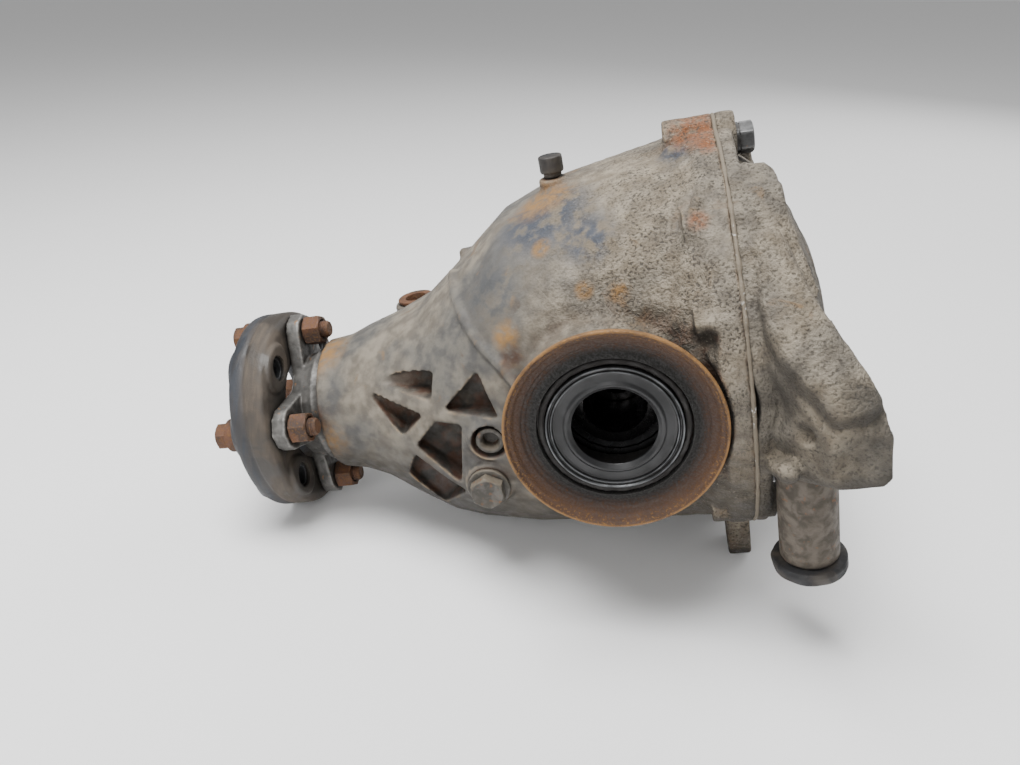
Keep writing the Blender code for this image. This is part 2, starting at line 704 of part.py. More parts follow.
def swept_height(r, phi):
    """The highest pinion reach over a wheel point's way through the mesh."""
    best = np.zeros_like(phi)
    pitch = 2 * math.pi / RING_TEETH
    for roll in np.arange(-4.5 * pitch, 4.5 * pitch, pitch / 40):
        x = -r * np.cos(phi + roll)
        z = r * np.sin(phi + roll)
        best = np.maximum(best, pinion_reach(x, z, roll * RING_TEETH / PINION_TEETH))
    return best


def space_angle(r):
    """Angle of the tooth space that holds the pinion tooth pointing at the wheel.

    It is met at the middle of the pinion head; from there the space follows the
    pinion tooth's direction over the wheel.
    """
    reach = math.hypot(HEAD_MID_X, PINION_Z)
    outward = (HEAD_MID_X / reach, PINION_Z / reach)
    across = (PINION_Z / reach, -HEAD_MID_X / reach)
    radial = outward[0] + HEAD_SPIRAL * outward[1]
    sideways = across[0] + HEAD_SPIRAL * across[1]
    return math.asin(PINION_Z / reach) + (r - reach) * sideways / radial / reach


def wheel_row(r):
    """One ring of tooth points at radius r: six to a tooth space."""
    pitch = 2 * math.pi / RING_TEETH
    phi = space_angle(r) + np.linspace(-pitch, pitch, 241)
    height = swept_height(r, phi)
    middle_range = slice(60, 181)
    peak = 60 + int(np.argmax(height[middle_range]))
    top = RING_FACE[0] + RING_FACE[1] * (r - RING_R[0])
    root = float(height.max()) + 0.8
    levels = (top, top + 0.45 * (root - top), root - 1.1)
    left, right = [], []
    for level in levels:
        a = b = peak
        while a > 0 and height[a] > level:
            a -= 1
        while b < len(phi) - 1 and height[b] > level:
            b += 1
        left.append(phi[a] - BACKLASH / r)
        right.append(phi[b] + BACKLASH / r)
    heights = (top, levels[1], root)
    space = list(zip(left, heights)) + list(zip(right[::-1], heights[::-1]))
    row = []
    for tooth in range(RING_TEETH):
        for angle, y in space:
            angle += tooth * pitch
            row.append((-r * math.cos(angle), y, r * math.sin(angle)))
    return row


def build_ring_gear():
    inner, outer = RING_R
    rows = [wheel_row(r) for r in np.linspace(inner, outer, 4)]
    back = []
    for row, r in ((rows[-1], outer), (rows[0], inner)):
        middle = (Vector(row[2]) + Vector(row[3])) / 2      # of the first tooth space
        start = math.atan2(middle.z, -middle.x)
        back.append([(-r * math.cos(a), RING_BACK, r * math.sin(a))
                     for a in around(RING_TEETH, start)])
    piece("ring_gear", stack(rows + back, closed=True), "carrier", "gear_steel")


# --- differential ----------------------------------------------------------------------------------
def on_sphere(distance, polar, azimuth, axis):
    """A point by its distance, its angle from an axis and its turn round it."""
    a = distance * math.cos(polar)
    r = distance * math.sin(polar)
    return along(axis, a, r * math.sin(azimuth), r * math.cos(azimuth))


def spider_limit(share):
    """Polar angle of a spider tooth at a share of the pitch from its middle."""
    share = np.abs((np.asarray(share) + 0.5) % 1.0 - 0.5)
    return np.radians(np.interp(share, (0.10, 0.36), (SPIDER_TIP, SPIDER_ROOT)))


def side_limit(azimuth):
    """Smallest polar angle from +Y at which a spider tooth is met, over the roll."""
    polar = np.radians(np.linspace(45, 75, 301))[:, None]
    best = np.full_like(azimuth, math.radians(SIDE_TIP))
    for roll in np.arange(-0.9, 0.9, 0.006):
        turned_by = azimuth + roll
        x = np.sin(polar) * np.sin(turned_by)
        y = np.cos(polar) * np.ones_like(turned_by)
        z = np.sin(polar) * np.cos(turned_by)
        from_z = np.arccos(np.clip(z, -1, 1))
        about_z = np.arctan2(-x, y) + roll * SIDE_TEETH / SPIDER_TEETH
        share = about_z * SPIDER_TEETH / (2 * math.pi)
        met = from_z <= spider_limit(share)
        first = np.where(met, polar, 9.0).min(axis=0)
        best = np.minimum(best, first)
    return best


def side_space():
    """One tooth space of the side gear: (turn, polar angle) points."""
    pitch = 2 * math.pi / SIDE_TEETH
    azimuth = np.linspace(-pitch / 2, pitch / 2, 241)
    limit = side_limit(azimuth)
    root = float(limit.min()) - math.radians(1.0)
    tip = math.radians(SIDE_TIP)
    levels = (tip - 1e-4, (tip + root) / 2, root + math.radians(1.6))
    heights = (tip, levels[1], root)
    points = []
    for level, height in zip(levels, heights):
        lower = [abs(a) for a, value in zip(azimuth, limit) if value < level]
        points.append((max(lower) + 0.018, height))
    return [(-a, h) for a, h in points] + [(a, h) for a, h in reversed(points)]


def build_side_gears():
    space = side_space()
    pitch = 2 * math.pi / SIDE_TEETH
    for name, sign in sides():
        def toothed(distance):
            return [on_sphere(distance, polar, turn + tooth * pitch, "Y")
                    for tooth in range(SIDE_TEETH) for turn, polar in space]

        def plain(y, r):
            return [along("Y", y, r * math.sin(a), r * math.cos(a))
                    for a in around(SIDE_TEETH, -pitch / 2)]

        rows = [plain(12.5, 13), toothed(CONE[0]), toothed(CONE[1]), plain(27, 25),
                plain(27, 17.5), plain(55, 17.5), plain(55, 13)]
        rows = [[(x, sign * y, z) for x, y, z in row] for row in rows]
        piece(f"side_gear_{name}", stack(rows, closed=True), f"side_gear_{name}",
              "gear_steel")


def build_spider_gears():
    pitch = 2 * math.pi / SPIDER_TEETH
    half = (0.10 - 0.02, 0.36 - 0.02)
    for name, sign in (("upper", 1.0), ("lower", -1.0)):
        def toothed(distance):
            points = []
            for tooth in range(SPIDER_TEETH):
                for share, polar in ((-half[1], SPIDER_ROOT), (-half[0], SPIDER_TIP),
                                     (half[0], SPIDER_TIP), (half[1], SPIDER_ROOT)):
                    points.append(on_sphere(distance, math.radians(polar),
                                            (tooth + share) * pitch, "Z"))
            return points

        def plain(distance, degrees):
            return [on_sphere(distance, math.radians(degrees), a, "Z")
                    for a in around(SPIDER_TEETH, -0.36 * pitch)]

        inner = CROSS_R + GAP + 0.5
        front = math.hypot(inner, 19.0)
        rows = [plain(front, math.degrees(math.asin(inner / front))), toothed(CONE[0]),
                toothed(CONE[1]), plain(37.4, 24), plain(37.4, 18),
                plain(37.4, math.degrees(math.asin(inner / 37.4)))]
        rows = [[(x, y, sign * z) for x, y, z in row] for row in rows]
        piece(f"spider_gear_{name}", stack(rows, closed=True), f"spider_gear_{name}",
              "gear_steel")


def build_case():
    profile = [(-HUB_END, 18), (-HUB_END, HUB_R), (-60, HUB_R), (-58, 28), (-40, 30),
               (-30, 42), (-14, CASE_R), (RING_BACK + GAP, CASE_R),
               (RING_BACK + GAP, 80), (RING_BACK + 8, 80), (RING_BACK + 8, 48),
               (58, 28), (60, HUB_R), (HUB_END, HUB_R), (HUB_END, 18), (28.6, 18)]
    profile += [(CASE_BORE_R * math.cos(a), CASE_BORE_R * math.sin(a))
                for a in np.radians(np.linspace(44.2, 135.8, 8))]
    profile += [(-28.6, 18)]
    case = make_object("diff_case", turned(profile, "Y", segments=20))
    cut(case, rod("Z", -60, 60, CROSS_R + GAP, segments=16))
    window = ((-19, -17), (19, -17), (19, 17), (-19, 17))
    cut(case, prism(window, "X", 30, 60), prism(window, "X", -60, -30))
    cut(case, rod("Y", -36, 13.3, 2.4, (0, 0, 42.5), 6))
    place(case, "carrier", "worn_steel")

    shaft = make_object("cross_shaft", rod("Z", -45, 45, CROSS_R, segments=16))
    cut(shaft, rod("Y", -20, 20, 2.4, (0, 0, 42.5), 6))
    place(shaft, "carrier", "gear_steel")
    piece("lock_pin", rod("Y", -27, 13, 1.7, (0, 0, 42.5), 6), "carrier", "gear_steel")
    for name, sign in sides():
        piece(f"side_washer_{name}",
              tube("Y", sign * 27.3, sign * 28.3, 18, 24.5, segments=16), "carrier",
              "worn_steel")
    for name, sign in (("upper", 1.0), ("lower", -1.0)):
        arc = [(37.7, 14), (38.5, 14), (38.5, 24), (37.7, 24)]
        washer = [(sign * d * math.cos(math.radians(p)), d * math.sin(math.radians(p)))
                  for d, p in arc]
        piece(f"spider_washer_{name}", turned(washer, "Z", segments=16), "carrier",
              "worn_steel")


clear_scene()
FRAME = add_empty("drive_frame", (FRAME_SHIFT, 0, FRAME_LIFT), None)
FRAME.rotation_euler = (0, -NOSE_DOWN, 0)
BODIES = {"root": FRAME}
BODIES["carrier"] = add_empty("carrier_axis", (0, 0, 0), FRAME)
BODIES["pinion"] = add_empty("pinion_axis", (0, 0, PINION_Z), FRAME)
for spun in ("spider_gear_upper", "spider_gear_lower", "side_gear_left",
             "side_gear_right"):
    BODIES[spun] = add_empty(spun + "_axis", (0, 0, 0), BODIES["carrier"])

build_housing()
build_cover()
build_joint_pieces()
build_plugs()
build_side_outputs()
build_bushes()
build_pinion()
build_input_flange()
build_flex_disc()
build_ring_gear()
build_case()
build_side_gears()
build_spider_gears()
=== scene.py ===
"""Looks of a used rear final drive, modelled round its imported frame.

Shapes are given in millimetres in the drive's own frame: origin on the output
axis midway between the outputs, +X to the rear cover, +Y to the crown wheel's
side, +Z up.  DRIVE turns such a point into the frame's metres.
"""

import json
import math

import bmesh
import bpy
import numpy as np
from mathutils import Matrix, Vector, noise

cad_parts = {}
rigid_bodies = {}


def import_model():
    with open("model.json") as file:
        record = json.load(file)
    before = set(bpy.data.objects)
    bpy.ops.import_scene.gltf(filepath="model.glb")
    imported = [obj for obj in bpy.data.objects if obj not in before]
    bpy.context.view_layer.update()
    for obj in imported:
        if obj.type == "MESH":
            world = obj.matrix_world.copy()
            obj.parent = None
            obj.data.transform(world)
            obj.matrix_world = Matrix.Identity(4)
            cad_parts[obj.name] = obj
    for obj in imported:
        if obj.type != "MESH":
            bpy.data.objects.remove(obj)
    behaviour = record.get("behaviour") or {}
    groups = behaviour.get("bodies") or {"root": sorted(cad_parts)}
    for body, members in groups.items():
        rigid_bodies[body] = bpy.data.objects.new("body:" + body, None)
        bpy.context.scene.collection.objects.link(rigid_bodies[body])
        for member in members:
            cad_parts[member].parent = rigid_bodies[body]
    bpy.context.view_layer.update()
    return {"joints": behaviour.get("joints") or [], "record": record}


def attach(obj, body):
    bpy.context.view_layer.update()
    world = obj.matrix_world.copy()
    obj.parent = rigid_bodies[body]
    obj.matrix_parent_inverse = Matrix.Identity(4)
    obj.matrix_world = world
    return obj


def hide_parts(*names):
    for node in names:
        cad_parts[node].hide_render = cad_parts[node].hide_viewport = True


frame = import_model()

MM = 0.001
JOINTS = {joint["name"]: joint for joint in frame["joints"]}

# --- the drive's frame, from its joints -------------------------------------------
REARWARD = Vector(JOINTS["pinion_spin"]["axis"]).normalized()
RIGHT = Vector((0, 1, 0))
DRIVE = Matrix((REARWARD, RIGHT, REARWARD.cross(RIGHT))).transposed().to_4x4()
DRIVE.translation = Vector(JOINTS["carrier_spin"]["pos_m"])
TO_DRIVE = DRIVE.inverted()
PINION_Z = (TO_DRIVE @ Vector(JOINTS["pinion_spin"]["pos_m"])).z / MM

SIDES = (("left", -1.0), ("right", 1.0))
ARM_ANGLES = (78.55, 168.55, 258.55, 348.55)    # of the flange's bolted arms
FLANGE_PITCH_R = 53.1
DISC_X = (-248.4, -221.5)
DISC_R = 67.7
BOLT_CIRCLE = 113.0
COVER_BOLTS = (90, 50, 130, 24, 156, 222, 318, 270)
BRIDGED_BOLTS = (50, 130, 24, 156)              # those that the cover's rim roofs over
ROOF_R = 121.0
ROOF_THICK = 8.0
TOP_LOBE_R = 16.5
LOBE_R = 12.0
FLANGE_R = 124.0
JOINT_X = 70.5
BUSH_AT = (96.0, 112.0)
BUSH_R = 16.0
BUSH_Z = (-95.0, -8.0)
DRAIN_PLUG = (-83.0, -51.0)
FILL_PLUG = (-77.0, -21.0)
BREATHER = (-24.0, 108.0)
FRONT_EAR = (-146.0, 63.0)
# ridges of the castings, given on the crown wheel's side and mirrored to the other
BELL_RIDGE = ((-92, 20, 63), (-88, 41, 57.5), (-81, 60, 49.5), (-72, 74, 39), (-60, 84.5, 28),
              (-51, 90, 16))
FLANGE_RIDGE = ((54, 72, 101), (54, 84, 88), (54, 91, 76))
ARM_ROOT_RIDGE = ((80, 118, -30), (84, 134, -26))
# ridges on the left of the top boss, and down the middle of the cover
TOP_BOSS_RIDGE = ((46, -22, 112), (56, -22, 114))
COVER_SPINE = ((82, 0, 96), (108, 0, 64), (121, 0, 20))
# dents of the housing's near side: centre, radius, depth and direction; two by the joint
# flange, two under the nose
HOUSING_DENTS = (
    ((54, -94, 64), 10, 7, (0.3, 1, -0.4)), ((50, -112, 41), 11, 7, (0.3, 1, 0)),
    ((-180, -34, -55), 7, 2.5, (0, 1, 0.5)), ((-128, -50, -63), 6, 1.5, (0, 1, 0.5)),
)
# the mount arm's crown above its frame shape: rear and front x, distance out and top z
ARM_CROWN = (
    (86, 84, 92, 80), (92, 85, 107, 64), (98, 86, 119, 51), (106, 91, 129, 38),
    (114, 102, 137, 24), (119, 108, 141, 13),
)


# --- a material's nodes --------------------------------------------------------------
class Graph:
    """One material, whose helpers add nodes and return their output sockets."""

    def __init__(self, name, roughness=0.6, metallic=0.0):
        self.material = bpy.data.materials.new(name)
        self.material.use_nodes = True
        self.nodes = self.material.node_tree.nodes
        self.links = self.material.node_tree.links
        self.shader = self.nodes["Principled BSDF"]
        self.shader.inputs["Roughness"].default_value = roughness
        self.shader.inputs["Metallic"].default_value = metallic
        self.place = self.nodes.new("ShaderNodeTexCoord").outputs["Object"]

    def put(self, socket, value):
        """Link a socket to another's output, or set it to a constant."""
        if isinstance(value, bpy.types.NodeSocket):
            self.links.new(value, socket)
        elif hasattr(socket.default_value, "__len__") and len(socket.default_value) == 4:
            socket.default_value = (*value, 1.0) if len(value) == 3 else value
        else:
            socket.default_value = value

    def noise(self, size_mm, detail=4.0, distortion=0.0, stretch=None):
        """Fractal noise from 0 to 1, whose lumps are about size_mm across."""
        node = self.nodes.new("ShaderNodeTexNoise")
        node.inputs["Scale"].default_value = 1.0 / (size_mm * MM)
        node.inputs["Detail"].default_value = detail
        node.inputs["Distortion"].default_value = distortion
        self.links.new(self.stretched(stretch), node.inputs["Vector"])
        return node.outputs["Fac"]

    def stretched(self, stretch):
        if stretch is None:
            return self.place
        node = self.nodes.new("ShaderNodeMapping")
        node.inputs["Scale"].default_value = stretch
        self.links.new(self.place, node.inputs["Vector"])
        return node.outputs["Vector"]

    def ramp(self, value, low, high, out_low=0.0, out_high=1.0):
        """A smooth step: out_low below low, out_high above high."""
        node = self.nodes.new("ShaderNodeMapRange")
        node.interpolation_type = "SMOOTHSTEP"
        ends = (low, high, out_low, out_high)
        for socket, number in zip(("From Min", "From Max", "To Min", "To Max"), ends):
            node.inputs[socket].default_value = number
        self.put(node.inputs["Value"], value)
        return node.outputs["Result"]

    def math(self, operation, one, other):
        node = self.nodes.new("ShaderNodeMath")
        node.operation = operation
        node.use_clamp = True
        self.put(node.inputs[0], one)
        self.put(node.inputs[1], other)
        return node.outputs["Value"]

    def mix(self, factor, one, other):
        node = self.nodes.new("ShaderNodeMix")
        node.data_type = "RGBA"
        self.put(node.inputs["Factor"], factor)
        self.put(node.inputs[6], one)
        self.put(node.inputs[7], other)
        return node.outputs[2]

    def near(self, centre, radius_mm, ragged=0.6, size_mm=9.0):
        """1 near a point of the drive's frame, falling raggedly to 0 at the radius."""
        node = self.nodes.new("ShaderNodeVectorMath")
        node.operation = "DISTANCE"
        self.links.new(self.place, node.inputs[0])
        node.inputs[1].default_value = DRIVE @ (Vector(centre) * MM)
        solid = self.ramp(node.outputs["Value"], 0.3 * radius_mm * MM, radius_mm * MM, 1, 0)
        rough = self.ramp(self.noise(size_mm, 6), 0.5 - 0.3 * ragged, 0.5 + 0.12 * ragged)
        return self.math("MULTIPLY", solid, rough)

    def along(self, axis, low, high):
        """0 to 1 between two stations of the drive's X, Y or Z, in millimetres."""
        direction = DRIVE.to_3x3() @ Vector([float(axis == name) for name in "XYZ"])
        node = self.nodes.new("ShaderNodeVectorMath")
        node.operation = "DOT_PRODUCT"
        self.links.new(self.place, node.inputs[0])
        node.inputs[1].default_value = direction
        offset = direction.dot(DRIVE.translation)
        return self.ramp(node.outputs["Value"], offset + low * MM, offset + high * MM)

    def output_radius(self):
        """Distance from the axis of the outputs, in metres."""
        offset = self.nodes.new("ShaderNodeVectorMath")
        offset.operation = "MULTIPLY_ADD"
        self.links.new(self.place, offset.inputs[0])
        offset.inputs[1].default_value = (1, 0, 1)
        offset.inputs[2].default_value = -DRIVE.translation * Vector((1, 0, 1))
        length = self.nodes.new("ShaderNodeVectorMath")
        length.operation = "LENGTH"
        self.links.new(offset.outputs["Vector"], length.inputs[0])
        return length.outputs["Value"]

    def crevices(self, reach_mm, low=0.45, high=0.95):
        """1 in corners and pockets, 0 on open surfaces: where shade is painted."""
        node = self.nodes.new("ShaderNodeAmbientOcclusion")
        node.samples = 6
        node.inputs["Distance"].default_value = reach_mm * MM
        return self.ramp(node.outputs["AO"], low, high, 1, 0)

    def edges(self, low=0.52, high=0.60):
        """1 on edges that stand out, where the surface wears; the rust's painted highlight also
        goes there.
        """
        geometry = self.nodes.new("ShaderNodeNewGeometry")
        return self.ramp(geometry.outputs["Pointiness"], low, high)

    def upward(self, low=0.2, high=0.9):
        """1 where the surface faces up, which gathers dust; with its ends swapped, 1 where it faces
        down, for painted shade underneath.
        """
        geometry = self.nodes.new("ShaderNodeNewGeometry")
        part = self.nodes.new("ShaderNodeSeparateXYZ")
        self.links.new(geometry.outputs["Normal"], part.inputs["Vector"])
        return self.ramp(part.outputs["Z"], low, high)

    def bump(self, height, depth_mm, strength=1.0, below=None):
        node = self.nodes.new("ShaderNodeBump")
        node.inputs["Strength"].default_value = strength
        node.inputs["Distance"].default_value = depth_mm * MM
        self.put(node.inputs["Height"], height)
        if below is not None:
            self.links.new(below, node.inputs["Normal"])
        return node.outputs["Normal"]

    def end(self, colour, roughness=None, normal=None, metallic=None):
        for socket, value in (("Base Color", colour), ("Roughness", roughness),
                              ("Normal", normal), ("Metallic", metallic)):
            if value is not None:
                self.put(self.shader.inputs[socket], value)
        return self.material


# --- colours, linear --------------------------------------------------------------------
DUST = (0.150, 0.122, 0.086)
PALE_DUST = (0.265, 0.226, 0.168)
BARE_GREY = (0.056, 0.057, 0.058)
BLUE_GREY = (0.040, 0.046, 0.060)
OCHRE = (0.215, 0.118, 0.040)
RUST = (0.185, 0.066, 0.022)
DARK_RUST = (0.055, 0.024, 0.012)
# near black of the painted shade in corners and pockets
CREVICE_SHADE = (0.020, 0.016, 0.012)
BLACK = (0.010, 0.010, 0.011)


# centre, radius and colour of each place on the housing where the casting shows through
BARE_PATCHES = (
    ((-30, -40, 98), 44, BLUE_GREY), ((-3, -64, 86), 22, BLUE_GREY),
    ((50, -24, 117), 19, BLUE_GREY), ((-60, -62, 62), 30, BARE_GREY),
    ((-120, -40, -70), 60, BARE_GREY),
)
# and of each rust stain
STAINS = (
    ((60, -12, 121), 24, RUST), ((66, -30, 116), 15, RUST), ((11, -86, 63), 8, OCHRE),
    ((-8, -82, 65), 7, OCHRE), ((-55, -82, 44), 11, OCHRE), ((-53, -86, 33), 9, DARK_RUST),
    ((-30, -61, 85), 8, OCHRE), ((-30, -20, 103), 26, OCHRE), ((-195, -8, 12), 26, OCHRE),
    ((-194, -34, -30), 24, OCHRE), ((54, -80, 92), 8, RUST),
)


def cast_colour(g, dusty):
    """Dust over bare casting, with stains; dusty says how much is covered."""
    patches = g.ramp(g.noise(42, 5, 0.4), 0.40, 0.62)
    mottled = g.ramp(g.noise(9, 5), 0.35, 0.68)
    bare = g.mix(mottled, BARE_GREY, (0.104, 0.099, 0.088))
    dust = g.mix(mottled, DUST, PALE_DUST)
    cover = g.math("ADD", g.math("MULTIPLY", patches, 0.45), dusty)
    colour = g.mix(cover, bare, dust)
    stains = g.math("MULTIPLY", g.ramp(g.noise(17, 7, 0.8), 0.62, 0.72), 0.45)
    return g.mix(stains, colour, g.mix(mottled, OCHRE, DARK_RUST))


def housing_material():
    """Smooth bare nose, turning to dusty rough sand casting towards the joint flange."""
    g = Graph("cast_housing_look")
    rear = g.along("X", -70, 35)
    colour = cast_colour(g, g.math("ADD", g.math("MULTIPLY", rear, 0.55), 0.12))
    for centre, radius, tint in BARE_PATCHES:
        colour = g.mix(g.near(centre, radius, 0.45), colour, tint)
    for centre, radius, tint in STAINS:
        colour = g.mix(g.near(centre, radius, 0.9, 5.0), colour, tint)
    worn = g.math("MULTIPLY", g.edges(0.515, 0.56), g.ramp(g.noise(13, 6), 0.42, 0.62))
    colour = g.mix(worn, colour, g.mix(g.noise(7, 4), OCHRE, PALE_DUST))
    # painted shade: corners and pockets darkened to near black, in patches to dark rust
    shade = g.math("MULTIPLY", g.crevices(30, 0.42, 0.97), g.ramp(g.noise(6, 5), 0.25, 0.6, 0.6, 1))
    colour = g.mix(shade, colour, g.mix(g.ramp(g.noise(10, 5), 0.4, 0.6), CREVICE_SHADE, DARK_RUST))
    # painted shade: faces that look down darkened to near black
    below = g.math("MULTIPLY", g.upward(0.10, -0.60), 0.85)
    colour = g.mix(below, colour, (0.024, 0.020, 0.015))
    # painted shade: near black inside the output bores
    bore_shade = g.ramp(g.output_radius(), 42 * MM, 40 * MM)
    colour = g.mix(bore_shade, colour, (0.011, 0.009, 0.008))
    grain = g.noise(1.5, 6, 0.3)
    coarse = g.math("MULTIPLY", rear, g.ramp(g.noise(30, 4), 0.32, 0.6, 0.35, 1))
    coarse = g.math("MULTIPLY", coarse, g.ramp(g.output_radius(), 40 * MM, 42 * MM))
    speck = g.math("MULTIPLY", g.ramp(grain, 0.50, 0.36), g.math("MULTIPLY", coarse, 0.9))
    colour = g.mix(speck, colour, (0.040, 0.033, 0.025))
    glint = g.math("MULTIPLY", g.ramp(grain, 0.60, 0.70), g.math("MULTIPLY", coarse, 0.4))
    colour = g.mix(glint, colour, (0.36, 0.32, 0.25))
    rough_end = g.bump(g.math("MULTIPLY", grain, coarse), 2.4, 1.0)
    pitted = g.bump(g.noise(3.4, 5), 0.9, 0.5, rough_end)
    smooth_end = g.bump(g.noise(5, 6), 0.6, 0.35, pitted)
    return g.end(colour, g.ramp(g.noise(8, 4), 0.3, 0.7, 0.62, 0.93), smooth_end)


def cover_material():
    """Rough sand casting, dark on its back, with painted shade underneath and in its hollows."""
    g = Graph("cast_cover_look")
    colour = cast_colour(g, 0.52)
    grain = g.noise(1.8, 5)
    colour = g.mix(g.ramp(grain, 0.48, 0.34, 0, 0.7), colour, (0.040, 0.033, 0.025))
    back = g.math("MULTIPLY", g.along("X", 95, 122), g.ramp(g.noise(20, 5), 0.35, 0.6))
    colour = g.mix(g.math("MULTIPLY", back, 0.75), colour, (0.042, 0.038, 0.032))
    # painted shade in corners and pockets
    shade = g.math("MULTIPLY", g.crevices(18, 0.3, 0.9), 0.9)
    colour = g.mix(shade, colour, (0.026, 0.021, 0.016))
    # painted shade: faces that look down darkened
    colour = g.mix(g.math("MULTIPLY", g.upward(0.40, -0.40), 0.80), colour, (0.036, 0.030, 0.023))
    normal = g.bump(grain, 2.0, 1.0)
    normal = g.bump(g.noise(3.6, 5), 1.2, 0.6, normal)
    return g.end(colour, g.ramp(g.noise(8, 4), 0.3, 0.7, 0.7, 0.96), normal)


def rust_material(name, worn):
    """Scaly rust, lighter on its edges by worn, 0 to 1, as a painted highlight."""
    g = Graph(name)
    bands = g.noise(14, 6, 0.6)
    fine = g.noise(1.6, 6)
    dark = g.mix(g.ramp(bands, 0.36, 0.62), (0.036, 0.019, 0.012), (0.100, 0.041, 0.019))
    colour = g.mix(g.ramp(fine, 0.46, 0.70, 0, 0.6), dark, (0.150, 0.078, 0.030))
    # painted highlight: edges lightened
    lit = g.math("MULTIPLY", g.edges(0.52, 0.62), worn)
    colour = g.mix(lit, colour, (0.150, 0.078, 0.038))
    # painted shade in its crevices, in a dark rust tone
    colour = g.mix(g.crevices(6, 0.3, 0.85), colour, (0.035, 0.017, 0.010))
    normal = g.bump(fine, 0.7, 0.8)
    normal = g.bump(g.noise(5, 5), 0.6, 0.4, normal)
    return g.end(colour, g.ramp(fine, 0.3, 0.7, 0.62, 0.95), normal)


def dust_ring_material():
    """Rust that is dark towards the hub and golden on the outer lip."""
    g = Graph("dust_ring_look")
    radius = g.output_radius()
    fine = g.noise(1.3, 6)
    patchy = g.noise(16, 6, 0.5)
    colour = g.mix(g.ramp(radius, 46 * MM, 56 * MM), (0.016, 0.009, 0.006), (0.060, 0.027, 0.012))
    colour = g.mix(g.ramp(radius, 57.0 * MM, 58.2 * MM), colour, (0.21, 0.105, 0.032))
    colour = g.mix(g.ramp(patchy, 0.48, 0.66, 0, 0.6), colour, (0.030, 0.014, 0.008))
    golden = g.mix(g.ramp(radius, 52 * MM, 58 * MM), (0.060, 0.027, 0.012), (0.27, 0.145, 0.046))
    colour = g.mix(g.ramp(fine, 0.50, 0.68, 0, 0.7), colour, golden)
    colour = g.mix(g.ramp(radius, 47.5 * MM, 44 * MM), colour, (0.010, 0.009, 0.008))
    normal = g.bump(fine, 0.7, 0.9)
    return g.end(colour, g.ramp(fine, 0.3, 0.7, 0.55, 0.92), normal)


def steel_material(name, base, rusty, roughness, metallic=0.75):
    """Worn steel with stains; rusty is the share that has rusted."""
    g = Graph(name, metallic=metallic)
    mottled = g.noise(7, 6, 0.4)
    colour = g.mix(g.ramp(mottled, 0.35, 0.65), base, [0.55 * part for part in base])
    spots = g.ramp(g.noise(5, 7, 0.7), 0.72 - 0.4 * rusty, 0.80 - 0.4 * rusty)
    colour = g.mix(spots, colour, g.mix(g.noise(3, 4), RUST, OCHRE))
    colour = g.mix(g.edges(0.515, 0.57), colour, [min(1.0, 1.9 * part) for part in base])
    # painted shade in its crevices
    colour = g.mix(g.crevices(7, 0.35, 0.9), colour, CREVICE_SHADE)
    bare = g.ramp(spots, 0.0, 0.6, metallic, 0.0)
    normal = g.bump(g.noise(1.1, 5), 0.35, 0.6)
    return g.end(colour, g.ramp(mottled, 0.3, 0.7, roughness - 0.08, roughness + 0.15), normal,
                 bare)


def dusty_steel_material(name, dust=0.6, tone=(0.082, 0.075, 0.064)):
    """Steel under road dust; dust says how much lies on what faces up."""
    g = Graph(name)
    mottled = g.noise(6, 6, 0.4)
    colour = g.mix(g.ramp(mottled, 0.35, 0.65), tone, [0.5 * part for part in tone])
    colour = g.mix(g.math("MULTIPLY", g.upward(-0.2, 0.9), dust), colour, DUST)
    colour = g.mix(g.ramp(g.noise(4, 6), 0.60, 0.70), colour, (0.125, 0.062, 0.030))
    colour = g.mix(g.edges(0.53, 0.62), colour, (0.16, 0.135, 0.10))
    # painted shade in its crevices
    colour = g.mix(g.crevices(7, 0.35, 0.9), colour, CREVICE_SHADE)
    normal = g.bump(g.noise(1.2, 5), 0.4, 0.7)
    return g.end(colour, g.ramp(mottled, 0.3, 0.7, 0.5, 0.8), normal)


def rubber_material(name, base, dust, roughness):
    """Rubber with dust in patches and edges rubbed pale."""
    g = Graph(name)
    dusty = g.math("MULTIPLY", g.ramp(g.noise(15, 6, 0.6), 0.40, 0.66), dust)
    colour = g.mix(dusty, base, (0.17, 0.135, 0.10))
    colour = g.mix(g.edges(0.52, 0.60), colour, [2.6 * part + 0.01 for part in base])
    normal = g.bump(g.noise(1.4, 5), 0.3, 0.6)
    return g.end(colour, g.ramp(g.noise(9, 4), 0.3, 0.7, roughness - 0.1, roughness + 0.2),
                 normal)


def disc_material():
    """Flex disc: blue-black at the front, brown with road dust at the rear."""
    g = Graph("flex_disc_look")
    rear = g.along("X", -241, -234)
    layered = g.noise(3.0, 5, 0.2, (1.0, 0.15, 0.15))
    patches = g.ramp(g.noise(24, 6, 0.5), 0.38, 0.62)
    front = g.mix(patches, (0.014, 0.017, 0.023), (0.034, 0.037, 0.044))
    brown = g.mix(patches, (0.028, 0.023, 0.018), (0.074, 0.058, 0.043))
    colour = g.mix(rear, front, brown)
    colour = g.mix(g.ramp(layered, 0.40, 0.62, 0, 0.5), colour, (0.035, 0.029, 0.024))
    colour = g.mix(g.edges(0.54, 0.64), colour, (0.10, 0.083, 0.065))
    # painted shade in its crevices
    colour = g.mix(g.crevices(9, 0.3, 0.9), colour, (0.008, 0.007, 0.006))
    normal = g.bump(layered, 0.5, 0.7)
    normal = g.bump(g.noise(1.2, 5), 0.25, 0.6, normal)
    return g.end(colour, g.ramp(patches, 0.2, 0.8, 0.50, 0.75), normal)


